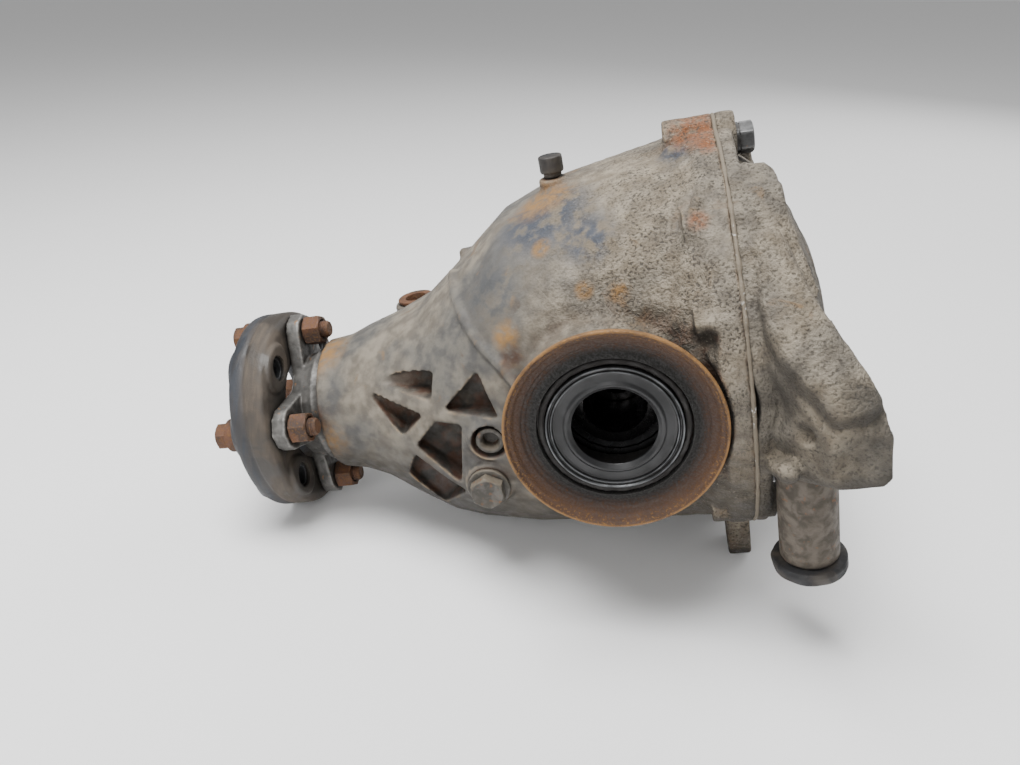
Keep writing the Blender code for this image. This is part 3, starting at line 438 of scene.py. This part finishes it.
def oily_material(name, base, roughness, metallic=0.9):
    """A surface under a film of gear oil."""
    g = Graph(name, metallic=metallic)
    film = g.ramp(g.noise(12, 5, 0.5), 0.35, 0.65)
    colour = g.mix(film, base, [0.45 * part for part in base])
    # painted shade in its crevices
    colour = g.mix(g.crevices(5, 0.3, 0.9), colour, (0.012, 0.010, 0.008))
    normal = g.bump(g.noise(2.2, 4, 0.0, (1.0, 0.2, 1.0)), 0.12, 0.5)
    return g.end(colour, g.ramp(film, 0, 1, roughness, roughness + 0.18), normal)


def sealant_material():
    """Dusty sealant with scattered painted glints: glossier spots painted bright silvery grey."""
    g = Graph("sealant_look", metallic=0.1)
    # painted highlight: bright spots, which are also made glossier
    painted_glint = g.math("MULTIPLY", g.ramp(g.noise(2.0, 5), 0.58, 0.66),
                    g.ramp(g.noise(28, 3), 0.50, 0.62))
    colour = g.mix(painted_glint, (0.150, 0.124, 0.090), (0.55, 0.55, 0.53))
    normal = g.bump(g.noise(1.5, 5), 0.6, 0.8)
    return g.end(colour, g.ramp(painted_glint, 0, 1, 0.7, 0.28), normal)


# --- pieces ---------------------------------------------------------------------------------
def add_piece(name, mesh, material, body, nodes=(), sharp=35):
    """A piece from a mesh in the drive's millimetres, smooth but for its edges."""
    mesh.transform(DRIVE @ Matrix.Scale(MM, 4))
    mesh.shade_smooth()
    if sharp:
        mesh.set_sharp_from_angle(angle=math.radians(sharp))
    mesh.materials.clear()
    mesh.materials.append(material)
    piece = bpy.data.objects.new(name, mesh)
    bpy.context.collection.objects.link(piece)
    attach(piece, body)
    if nodes:
        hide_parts(*nodes)
    return piece


def mesh_of(bm):
    """A mesh of the bmesh, which is used up."""
    bmesh.ops.recalc_face_normals(bm, faces=bm.faces)
    mesh = bpy.data.meshes.new("shape")
    bm.to_mesh(mesh)
    bm.free()
    return mesh


def along(axis, a, u, v):
    """The point at station a of an axis, with u and v across it."""
    return {"X": (a, u, v), "Y": (u, a, v), "Z": (u, v, a)}[axis]


def turned(profile, axis, centre=(0, 0, 0), segments=96, bm=None, reach=None):
    """Turn a closed (a, r) profile round an axis; reach may reshape each point's r."""
    bm = bm or bmesh.new()
    rows = []
    for a, r in profile:
        row = []
        for k in range(segments if r > 0 else 1):
            angle = 2 * math.pi * k / segments
            radius = reach(a, r, angle) if reach else r
            point = along(axis, a, radius * math.cos(angle), radius * math.sin(angle))
            row.append(bm.verts.new(Vector(point) + Vector(centre)))
        rows.append(row)
    for one, other in zip(rows, rows[1:] + rows[:1]):
        if len(one) == 1 and len(other) == 1:
            continue
        for k in range(segments):
            n = (k + 1) % segments
            corners = [one[k % len(one)], one[n % len(one)], other[n % len(other)],
                       other[k % len(other)]]
            bm.faces.new(list(dict.fromkeys(corners)))
    return bm


def eased(profile, radius, steps=4):
    """The closed profile with its corners rounded, where there is room."""
    points = []
    count = len(profile)
    for k in range(count):
        before, here, after = (Vector(profile[(k + j) % count]) for j in (-1, 0, 1))
        if here.y <= 0:
            points.append(tuple(here))
            continue
        reach = min(radius, 0.45 * (before - here).length, 0.45 * (after - here).length)
        start = here + (before - here).normalized() * reach
        stop = here + (after - here).normalized() * reach
        for step in range(steps + 1):
            t = step / steps
            points.append(tuple(start.lerp(here, t).lerp(here.lerp(stop, t), t)))
    return points


def mirrored(profile, sign):
    """An (a, r) profile, turned to the side that sign says."""
    return [(a * sign, r) for a, r in profile]


def on_side(points, sign):
    """Points on the side that sign says."""
    return [(x, sign * y, z) for x, y, z in points]


def cad_shape(*nodes):
    """A mesh body of CAD nodes, in the drive's millimetres."""
    bm = bmesh.new()
    for node in nodes:
        bm.from_mesh(bpy.data.objects[node].data)
    bmesh.ops.transform(bm, matrix=Matrix.Scale(1 / MM, 4) @ TO_DRIVE, verts=bm.verts)
    return bm


def capsule_chain(bm, points, radius):
    """A rounded ridge through a few points, to be fused by remeshing."""
    for one, other in zip(points, points[1:]):
        steps = max(1, int((Vector(other) - Vector(one)).length / (0.7 * radius)))
        for step in range(steps + 1):
            at = Vector(one).lerp(Vector(other), step / steps)
            bmesh.ops.create_icosphere(bm, subdivisions=2, radius=radius,
                                       matrix=Matrix.Translation(at))


def hull_chain(bm, rows, radius):
    """A rounded body through rows of points, to be fused by remeshing."""
    for one, other in zip(rows, rows[1:]):
        hull = bmesh.new()
        for at in one + other:
            bmesh.ops.create_icosphere(hull, subdivisions=2, radius=radius,
                                       matrix=Matrix.Translation(at))
        found = bmesh.ops.convex_hull(hull, input=hull.verts)
        unused = {item for item in found["geom_interior"] if isinstance(item, bmesh.types.BMVert)}
        bmesh.ops.delete(hull, geom=list(unused), context="VERTS")
        bm.from_mesh(mesh_of(hull))


def fused(bm, voxel, rounds):
    """One skin over overlapping bodies, its edges softened as a casting's are."""
    helper = bpy.data.objects.new("helper", mesh_of(bm))
    bpy.context.collection.objects.link(helper)
    remesh = helper.modifiers.new("skin", "REMESH")
    remesh.mode = "VOXEL"
    remesh.voxel_size = voxel
    soften = helper.modifiers.new("soften", "SMOOTH")
    soften.factor = 0.5
    soften.iterations = rounds
    bpy.context.view_layer.update()
    graph = bpy.context.evaluated_depsgraph_get()
    mesh = bpy.data.meshes.new_from_object(helper.evaluated_get(graph))
    bpy.data.objects.remove(helper)
    return mesh


def coordinates(mesh):
    """The mesh's points, a row each."""
    flat = np.empty(3 * len(mesh.vertices), dtype=np.float32)
    mesh.vertices.foreach_get("co", flat)
    return flat.reshape(-1, 3)


def normals(mesh):
    """The normals at the mesh's points, a row each."""
    flat = np.empty(3 * len(mesh.vertices), dtype=np.float32)
    mesh.vertices.foreach_get("normal", flat)
    return flat.reshape(-1, 3)


def dented(mesh, dents):
    """Press rounded dents into a mesh: centre, radius, depth and direction of each."""
    points = coordinates(mesh)
    for centre, radius, depth, direction in dents:
        away = np.linalg.norm(points - np.array(centre, dtype=np.float32), axis=1)
        share = np.clip(1 - away / radius, 0, 1)
        push = depth * (3 * share ** 2 - 2 * share ** 3)
        points += push[:, None] * np.array(Vector(direction).normalized(), dtype=np.float32)
    mesh.vertices.foreach_set("co", points.ravel())


def roughened(mesh, height, size_mm, where=lambda p: 1.0):
    """Lift a mesh along its normals by noise, by up to height."""
    points, out = coordinates(mesh), normals(mesh)
    lift = np.array([where(p) * noise.noise(Vector(p) / size_mm) for p in points],
                    dtype=np.float32)
    points += height * lift[:, None] * out
    mesh.vertices.foreach_set("co", points.ravel())
    mesh.update()


# --- castings --------------------------------------------------------------------------------
def build_housing():
    """The housing's frame shape with its ridges and dents, as one rough casting."""
    bm = cad_shape("housing")
    for _, sign in SIDES:
        capsule_chain(bm, on_side(BELL_RIDGE, sign), 4.0)
        capsule_chain(bm, on_side(FLANGE_RIDGE, sign), 3.0)
    capsule_chain(bm, TOP_BOSS_RIDGE, 8.0)
    mesh = fused(bm, 1.25, 5)
    dented(mesh, HOUSING_DENTS)
    roughened(mesh, 0.5, 7.0, lambda p: min(1.0, max(0.15, (p[0] + 60) / 90)))
    add_piece("housing_casting", mesh, MATERIALS["cast_housing"], "root",
              ["housing"], sharp=0)


def build_cover():
    """The cover's frame shape with fuller arms, and a rim over its upper bolts."""
    bm = cad_shape("rear_cover")
    for _, sign in SIDES:
        capsule_chain(bm, on_side(ARM_ROOT_RIDGE, sign), 6.5)
        rows = [((rear, sign * y, z), (front, sign * y, z - 3), (front, sign * (y - 10), z - 26))
                for rear, front, y, z in ARM_CROWN]
        hull_chain(bm, rows, 8.0)
    capsule_chain(bm, COVER_SPINE, 3.2)
    for degrees in BRIDGED_BOLTS:
        for off in range(-7, 8):
            y, z = (ROOF_R * f(math.radians(degrees + off)) for f in (math.cos, math.sin))
            capsule_chain(bm, [(80, y, z), (94, 0.985 * y, 0.985 * z)], ROOF_THICK / 2)
    mesh = fused(bm, 1.3, 6)
    dents = []
    for _, sign in SIDES:
        dents += [((80, sign * 122, 6), 20, 5, (1, -sign * 0.4, 0)),
                  ((92, sign * 137, -4), 7, 6, (1, -sign * 0.4, 0)),
                  ((117, sign * 150, -14), 18, 1.6, (0, -sign, 0)),
                  ((84, sign * 126, -20), 10, 3, (1, 0, 0))]
    dented(mesh, dents)
    roughened(mesh, 0.5, 9.0)
    add_piece("cover_casting", mesh, MATERIALS["cast_cover"], "root",
              ["rear_cover"], sharp=0)


def joint_outline(angle):
    """Radius of the joint's edge: the flange, or a bolt's lobe where that reaches out."""
    reach = FLANGE_R
    for degrees in COVER_BOLTS:
        radius = TOP_LOBE_R if degrees == 90 else LOBE_R
        off = angle - math.radians(degrees)
        across = BOLT_CIRCLE * math.sin(off)
        if math.cos(off) > 0 and abs(across) < radius:
            reach = max(reach, BOLT_CIRCLE * math.cos(off) + math.sqrt(radius**2 - across**2))
    return reach


def build_sealant():
    """The gasket, with an uneven bead squeezed out along its edge."""
    bm = bmesh.new()
    around, sides = 720, 10
    rows = []
    for k in range(around):
        angle = 2 * math.pi * k / around
        lump = noise.noise(Vector((math.cos(angle), math.sin(angle), 0)) * 17)
        thick = 1.3 + 0.7 * lump
        centre_r = joint_outline(angle) - 1.5
        row = []
        for j in range(sides):
            turn = 2 * math.pi * j / sides
            r = centre_r + thick * math.cos(turn)
            row.append(bm.verts.new((JOINT_X + 0.15 + thick * math.sin(turn),
                                     r * math.cos(angle), r * math.sin(angle))))
        rows.append(row)
    for one, other in zip(rows, rows[1:] + rows[:1]):
        for j in range(sides):
            n = (j + 1) % sides
            bm.faces.new((one[j], one[n], other[n], other[j]))
    turned([(70.3, 102), (70.3, 122.5), (71, 122.5), (71, 102)], "X", segments=128, bm=bm)
    add_piece("joint_sealant", mesh_of(bm), MATERIALS["sealant"], "root",
              ["cover_gasket"], sharp=50)


# --- fasteners --------------------------------------------------------------------------------
def hexagon(corner_r, chamfer_r):
    """Reach function of a hexagon whose corners are turned down to chamfer_r(a)."""
    def reach(a, r, angle):
        if r < corner_r - 1e-6:
            return r
        off = (angle + math.pi / 6) % (math.pi / 3) - math.pi / 6
        flat = corner_r * math.cos(math.pi / 6) / math.cos(off)
        return min(flat, chamfer_r(a))
    return reach


def thread(start, stop, radius, pitch=1.5, depth=0.55):
    """Profile points of a thread's ridges between two stations."""
    points = []
    count = max(1, int(abs(stop - start) / pitch))
    for k in range(count):
        a = start + (stop - start) * k / count
        b = start + (stop - start) * (k + 0.5) / count
        points += [(a, radius - depth), (b, radius)]
    return points + [(stop, radius - depth)]


def bolt_shape(seat, head, corner_r, tip, shank_r, centre, axis="X", washer=0.0, hollow=0.0):
    """A chamfered hexagon bolt: head from its seat outwards, threaded end at the tip."""
    out = 1.0 if seat > tip else -1.0
    top = seat + out * head
    flat_r = corner_r * math.cos(math.pi / 6)

    def chamfer_r(a):
        depth = abs(top - a)
        return flat_r - 0.4 + 1.9 * depth if depth < 3 else corner_r + 1

    profile = [(tip, 0), (tip, shank_r - 1.2), (tip + out * 1.2, shank_r - 0.3)]
    profile += thread(tip + out * 1.4, tip + out * 15, shank_r)
    profile += [(tip + out * 15.2, shank_r), (seat, shank_r)]
    if washer:
        profile += [(seat, corner_r + washer), (seat + out * 1.6, corner_r + washer - 0.3),
                    (seat + out * 2.2, corner_r - 0.9)]
        seat += out * 2.2
    profile += [(seat + (top - seat) * share, corner_r) for share in (0.01, 0.5, 0.8, 0.9, 0.96, 1)]
    if hollow:
        profile += [(top, hollow), (top - out * 2.4, hollow * 0.8), (top - out * 2.6, 0)]
    else:
        profile += [(top - out * 0.2, flat_r - 1.2), (top - out * 0.2, 0)]
    return turned(profile, axis, centre, 72, reach=hexagon(corner_r, chamfer_r))


def nut_shape(a0, a1, corner_r, hole, centre):
    """A chamfered hexagon nut between two stations of X."""
    flat_r = corner_r * math.cos(math.pi / 6)

    def chamfer_r(a):
        depth = min(abs(a - a0), abs(a - a1))
        return flat_r - 0.2 + 1.9 * depth if depth < 3 else corner_r + 1

    profile = [(a0 + (a1 - a0) * share, corner_r) for share in (0, 0.06, 0.14, 0.5, 0.86, 0.94, 1)]
    profile += [(a1, hole + 0.9), (a1 - 0.8, hole), (a0 + 0.8, hole), (a0, hole + 0.9)]
    return turned(profile, "X", centre, 72, reach=hexagon(corner_r, chamfer_r))


def build_cover_bolts():
    for number, degrees in enumerate(COVER_BOLTS, 1):
        y, z = (BOLT_CIRCLE * f(math.radians(degrees)) for f in (math.cos, math.sin))
        shape = bolt_shape(82.3, 9.8, 9.2, 52.2, 4.9, (0, y, z), washer=1.5, hollow=4.6)
        add_piece(f"cover_bolt_{number}_detailed", mesh_of(shape), MATERIALS["dark_steel"],
                  "root", [f"cover_bolt_{number}"])


def flange_places(half=0):
    """y, z of the disc's holes: half 0 for the bolted ones, 1 for the free ones."""
    angles = [math.radians(degrees + 45 * half) for degrees in ARM_ANGLES]
    return [(FLANGE_PITCH_R * math.cos(a), PINION_Z + FLANGE_PITCH_R * math.sin(a))
            for a in angles]


def build_flange_bolts():
    """Bolts with a washer under the head, and their nuts."""
    for number, (y, z) in enumerate(flange_places(), 1):
        seat = DISC_X[0] - 7
        bolt = bolt_shape(seat, 8, 9.3, -194.7, 5.9, (0, y, z))
        bolt = turned(eased([(seat + 0.2, 6.0), (seat + 0.2, 11.0), (DISC_X[0] - 0.3, 11.0),
                             (DISC_X[0] - 0.3, 6.0)], 0.6), "X", (0, y, z), 48, bm=bolt)
        add_piece(f"flange_bolt_{number}_detailed", mesh_of(bolt), MATERIALS["rusty_bolt"],
                  "pinion", [f"flange_bolt_{number}"])
        nut = nut_shape(-211.6, -199.6, 10.4, 6.25, (0, y, z))
        add_piece(f"flange_nut_{number}_detailed", mesh_of(nut), MATERIALS["rusty_bolt"],
                  "pinion", [f"flange_nut_{number}"])


def build_plugs():
    """Hexagon drain plug with its collar, recessed filler, and the breather's cap."""
    x, z = DRAIN_PLUG
    drain = bolt_shape(-87.2, 6.3, 11.0, -66.2, 8.8, (x, 0, z), axis="Y")
    collar = eased([(-84.4, 8.9), (-84.4, 13.0), (-86.9, 13.0), (-87.4, 8.9)], 0.7)
    turned(collar, "Y", (x, 0, z), 64, bm=drain)
    add_piece("drain_plug_detailed", mesh_of(drain), MATERIALS["dusty_steel"], "root",
              ["drain_plug"])
    x, z = FILL_PLUG
    fill = eased([(-62.2, 0), (-62.2, 8.4), (-82.2, 8.6), (-82.4, 6.4), (-80.5, 5.0),
                  (-75.5, 4.6), (-74.8, 0)], 0.8)
    add_piece("fill_plug_detailed", mesh_of(turned(fill, "Y", (x, 0, z), 64)),
              MATERIALS["dusty_steel"], "root", ["fill_plug"])
    x, seat = BREATHER
    cap = eased([(84, 0), (84, 2.7), (seat + 0.4, 2.7), (seat + 0.4, 5.4), (seat + 3, 5.4),
                 (seat + 3, 6.6), (seat + 4, 7.1), (seat + 12.9, 7.1), (seat + 12.9, 0)], 1.1)
    add_piece("breather_detailed", mesh_of(turned(cap, "Z", (x, 0, 0), 56)),
              MATERIALS["dusty_rubber"], "root", ["breather_cap"])


# --- outputs ----------------------------------------------------------------------------------
def build_outputs():
    """Pressed dust rings, and the seals' steel cases and rubber lips, all turned."""
    ring = [(113, 41.2), (119.3, 41.2), (117.6, 44), (116.9, 46.8), (117.9, 47.6),
            (117.8, 49.2), (119.2, 50.0), (119.9, 53.2), (122.2, 54.6), (123.0, 56.4),
            (124.7, 57.2), (124.7, 58.8), (123.4, 58.95), (119, 57.6), (116, 55), (113, 46)]
    case = [(109.6, 34.2), (109.6, 36.4), (119.5, 36.4), (119.5, 35.5), (117.9, 34.9),
            (117.9, 34.3), (119.0, 33.7), (119.0, 33.0), (111, 33.0)]
    rubber = [(110.5, 32.8), (117.6, 32.8), (117.0, 31.5), (117.4, 27.5), (118.6, 26.2),
              (118.6, 25.0), (117.3, 23.6), (116.6, 22.6), (115.4, 23.0), (114.2, 26.0),
              (113.6, 30.6), (110.5, 31.4)]
    for name, sign in SIDES:
        add_piece(f"dust_ring_{name}_pressed",
                  mesh_of(turned(eased(mirrored(ring, sign), 0.6, 3), "Y", segments=168)),
                  MATERIALS["dust_ring"], "root", [f"dust_ring_{name}"])
        add_piece(f"side_seal_{name}_case",
                  mesh_of(turned(eased(mirrored(case, sign), 0.25, 2), "Y", segments=144)),
                  MATERIALS["seal_steel"], "root")
        add_piece(f"side_seal_{name}_lip",
                  mesh_of(turned(eased(mirrored(rubber, sign), 0.5, 3), "Y", segments=144)),
                  MATERIALS["oily_rubber"], "root", [f"side_seal_{name}"])


def build_side_gears():
    """Internal splines of the side gears' bores, seen through the seals."""
    teeth = 27
    steps = 8

    def spline(a, r, angle):
        if r > 14:
            return r
        phase = (angle * teeth / (2 * math.pi)) % 1.0
        return r + (1.1 if 0.28 < phase < 0.72 else 0.0)

    for name, sign in SIDES:
        stations = [24.0, 25.0, 54.0, 55.1]
        profile = [(stations[0], 17.2), (stations[0], 13.1), (stations[1], 12.3)]
        profile += [(stations[2], 12.3), (stations[3], 13.1), (stations[3], 17.2)]
        liner = turned(mirrored(profile, sign), "Y", segments=teeth * steps, reach=spline)
        add_piece(f"side_gear_{name}_splines", mesh_of(liner), MATERIALS["gear_steel"],
                  f"side_gear_{name}")


# --- input end ----------------------------------------------------------------------------------
def build_flex_disc():
    """Moulded disc with a parting groove, eyes round its holes, and steel sleeves."""
    a0, a1 = DISC_X
    groove = 1.3
    middle = (a0 + a1) / 2
    profile = [(a0, 36.4), (a0, DISC_R - 5), (a0 + 2, DISC_R - 0.8), (a0 + 5, DISC_R),
               (middle - 3.2, DISC_R), (middle - 2, DISC_R - groove), (middle - 0.8, DISC_R),
               (a1 - 5, DISC_R), (a1 - 2, DISC_R - 0.8), (a1, DISC_R - 5), (a1, 36.4)]
    centre = (0, 0, PINION_Z)
    bm = turned(eased(profile, 1.0, 2), "X", centre, 128)
    for half in (0, 1):
        for y, z in flange_places(half):
            outward = math.atan2(z - PINION_Z, y)
            if half:
                eye_shape(bm, (a1, y, z), -1, outward, 2.2)
            eye_shape(bm, (a0, y, z), 1, outward, 1.0)
    mesh = fused(bm, 0.9, 3)
    helper = bpy.data.objects.new("helper", mesh)
    bpy.context.collection.objects.link(helper)
    drills = []
    for half in (0, 1):
        for y, z in flange_places(half):
            hole = [(a0 - 9, 0), (a0 - 9, 8.6), (a1 + 9, 8.6), (a1 + 9, 0)]
            drills.append(turned(hole, "X", (0, y, z), 40))
    mesh = drilled(helper, drills)
    add_piece("flex_disc_moulded", mesh, MATERIALS["flex_disc"], "pinion",
              ["flex_disc"], sharp=40)
    for half in (0, 1):
        for number, (y, z) in enumerate(flange_places(half), 1):
            kind = "free" if half else "bolted"
            sleeve = eased([(a0 + 0.1, 6.4), (a0 + 0.1, 8.4), (a1 - 0.1, 8.4), (a1 - 0.1, 6.4)],
                           0.5)
            add_piece(f"flex_disc_sleeve_{kind}_{number}",
                      mesh_of(turned(sleeve, "X", (0, y, z), 48)), MATERIALS["seal_steel"],
                      "pinion")


def eye_shape(bm, at, sign, outward, rise):
    """A low lens-shaped pad round a hole of the disc, longer across the radius."""
    a, y, z = at
    rings = ((-0.9, 1.0), (0.5 * rise, 0.97), (rise, 0.88), (rise, 0.2))
    rows = []
    for height, share in rings:
        row = []
        for k in range(48):
            angle = 2 * math.pi * k / 48
            u = 13.2 * share * math.cos(angle)
            v = 18.5 * share * math.copysign(abs(math.sin(angle)) ** 1.15, math.sin(angle))
            x = a - sign * height
            row.append(bm.verts.new((x, y + u * math.cos(outward) - v * math.sin(outward),
                                     z + u * math.sin(outward) + v * math.cos(outward))))
        rows.append(row)
    bm.faces.new(rows[0])
    bm.faces.new(rows[-1])
    for one, other in zip(rows, rows[1:]):
        for k in range(48):
            n = (k + 1) % 48
            bm.faces.new((one[k], one[n], other[n], other[k]))


def drilled(helper, drills):
    """The helper's mesh with cylinders cut out of it; both are used up."""
    for bm in drills:
        drill = bpy.data.objects.new("drill", mesh_of(bm))
        bpy.context.collection.objects.link(drill)
        cut = helper.modifiers.new("hole", "BOOLEAN")
        cut.operation = "DIFFERENCE"
        cut.solver = "MANIFOLD"
        cut.object = drill
        bpy.context.view_layer.update()
        graph = bpy.context.evaluated_depsgraph_get()
        result = bpy.data.meshes.new_from_object(helper.evaluated_get(graph))
        helper.modifiers.clear()
        helper.data = result
        bpy.data.objects.remove(drill)
    mesh = helper.data
    bpy.data.objects.remove(helper)
    return mesh


def build_flange():
    """The forged input flange, its edges softened, and the pinion nut."""
    mesh = fused(cad_shape("input_flange"), 0.8, 4)
    roughened(mesh, 0.25, 4.0)
    add_piece("input_flange_forged", mesh, MATERIALS["worn_steel"], "pinion",
              ["input_flange"], sharp=0)
    nut = nut_shape(-224.8, -216.5, 19.6, 11.6, (0, 0, PINION_Z))
    add_piece("pinion_nut_detailed", mesh_of(nut), MATERIALS["worn_steel"], "pinion",
              ["pinion_nut"])


# --- bushes ---------------------------------------------------------------------------------
def build_bushes():
    """Rear bushes of sleeve, rubber and core, and the front ear's bush."""
    low, high = BUSH_Z
    for name, sign in SIDES:
        centre = (BUSH_AT[0], sign * BUSH_AT[1], 0)
        sleeve = eased([(low, 14.3), (low, 15.2), (low + 1.5, BUSH_R), (high, BUSH_R),
                        (high, 14.3)], 0.5)
        add_piece(f"rear_bush_sleeve_{name}_detailed", mesh_of(turned(sleeve, "Z", centre, 72)),
                  MATERIALS["bush_sleeve"], "root", [f"rear_bush_sleeve_{name}"])
        rubber = eased([(high - 4.2, 9.9), (high - 4.2, 13.8), (low - 0.4, 13.8),
                        (low - 0.5, 19.8), (low - 2.5, 20.6), (low - 7, 20.2),
                        (low - 8.8, 18.0), (low - 8.9, 9.9)], 0.8)
        bm = turned(rubber, "Z", centre, 72)
        mesh = mesh_of(bm)
        roughened(mesh, 0.9, 7.0, lambda p, floor=low: 1.0 if p[2] < floor - 1 else 0.0)
        add_piece(f"rear_bush_rubber_{name}_detailed", mesh, MATERIALS["dusty_rubber"], "root",
                  [f"rear_bush_rubber_{name}"])
        core = eased([(low - 10.9, 7.5), (low - 10.9, 9.4), (high - 2.1, 9.4),
                      (high - 2.1, 7.5)], 0.5)
        add_piece(f"rear_bush_core_{name}_detailed", mesh_of(turned(core, "Z", centre, 56)),
                  MATERIALS["rusty_bolt"], "root", [f"rear_bush_core_{name}"])
    front = eased([(-18.9, 7.5), (-18.9, 10.9), (20.5, 10.9), (20.6, 12.9), (22.9, 12.9),
                   (22.9, 7.5)], 0.6)
    add_piece("front_bush_detailed", mesh_of(turned(front, "Z", (*FRONT_EAR, 0), 64)),
              MATERIALS["rusty_bolt"], "root", ["front_bush"])


# --- what stays as the frame has it -------------------------------------------------------------
def finish_frame_nodes():
    """Materials for the frame's own nodes, which show where no piece replaces them."""
    looks = {"gear_steel": "gear_steel", "bearing_steel": "bearing_steel",
             "black_rubber": "oily_rubber", "worn_steel": "gear_steel",
             "rusty_steel": "rusty_bolt", "gasket": "sealant",
             "cast_housing": "cast_housing", "cast_cover": "cast_cover"}
    for part in frame["record"]["subparts"]:
        node = bpy.data.objects[part["node"]]
        node.data.materials.clear()
        node.data.materials.append(MATERIALS[looks[part["material_slot"]]])


# --- floor, light and camera ----------------------------------------------------------------------
# name, place, size in metres and power in watts of each area light
LIGHTS = (
    ("overhead", (-0.25, -0.20, 1.5), 0.9, 46),
    ("front_fill", (-0.5, -1.5, 0.9), 1.0, 11),
    ("rear_fill", (0.9, 1.2, 1.0), 1.2, 12),
)
LIT_POINT = Vector((0, 0, 0.13))


def build_stage():
    mesh = bpy.data.meshes.new("floor")
    edge = 6.0
    mesh.from_pydata([(-edge, -edge, 0), (edge, -edge, 0), (edge, edge, 0), (-edge, edge, 0)],
                     [], [(0, 1, 2, 3)])
    floor = bpy.data.objects.new("floor", mesh)
    bpy.context.collection.objects.link(floor)
    g = Graph("floor_look", roughness=0.95)
    mesh.materials.append(g.end((0.86, 0.86, 0.86)))

    world = bpy.data.worlds.new("studio")
    bpy.context.scene.world = world
    world.use_nodes = True
    background = world.node_tree.nodes["Background"]
    background.inputs["Color"].default_value = (1.0, 1.0, 1.0, 1)
    background.inputs["Strength"].default_value = 0.42
    for name, at, size, power in LIGHTS:
        light = bpy.data.lights.new(name, "AREA")
        light.energy = power
        light.size = size
        lamp = bpy.data.objects.new(name, light)
        bpy.context.collection.objects.link(lamp)
        lamp.location = at
        aim = LIT_POINT - Vector(at)
        lamp.rotation_euler = aim.to_track_quat("-Z", "Y").to_euler()


def build_camera():
    camera = bpy.data.cameras.new("camera")
    camera.sensor_width = 36.0
    camera.lens = 29.8
    camera.clip_start = 0.01
    eye = bpy.data.objects.new("camera", camera)
    bpy.context.collection.objects.link(eye)
    eye.location = (0.05908, -0.50223, 0.36433)
    eye.rotation_euler = (1.0873, 0.0004, 0.1246)
    bpy.context.scene.camera = eye


MATERIALS = {
    "cast_housing": housing_material(),
    "cast_cover": cover_material(),
    "dust_ring": dust_ring_material(),
    "rusty_bolt": rust_material("rusty_bolt_look", 0.45),
    "worn_steel": steel_material("worn_steel_look", (0.125, 0.120, 0.112), 0.22, 0.5, 0.35),
    "dark_steel": steel_material("dark_steel_look", (0.085, 0.085, 0.085), 0.15, 0.5, 0.5),
    "dusty_steel": dusty_steel_material("dusty_steel_look"),
    "bush_sleeve": dusty_steel_material("bush_sleeve_look", 0.35, (0.090, 0.072, 0.052)),
    "seal_steel": oily_material("seal_steel_look", (0.115, 0.118, 0.122), 0.3, 0.8),
    "gear_steel": oily_material("gear_steel_look", (0.060, 0.058, 0.058), 0.14),
    "bearing_steel": oily_material("bearing_steel_look", (0.30, 0.30, 0.31), 0.14),
    "oily_rubber": oily_material("oily_rubber_look", (0.009, 0.009, 0.010), 0.34, 0.0),
    "dusty_rubber": rubber_material("dusty_rubber_look", BLACK, 0.25, 0.6),
    "flex_disc": disc_material(),
    "sealant": sealant_material(),
}

finish_frame_nodes()
build_housing()
build_cover()
build_sealant()
build_cover_bolts()
build_flange_bolts()
build_plugs()
build_outputs()
build_side_gears()
build_flex_disc()
build_flange()
build_bushes()
build_stage()
build_camera()
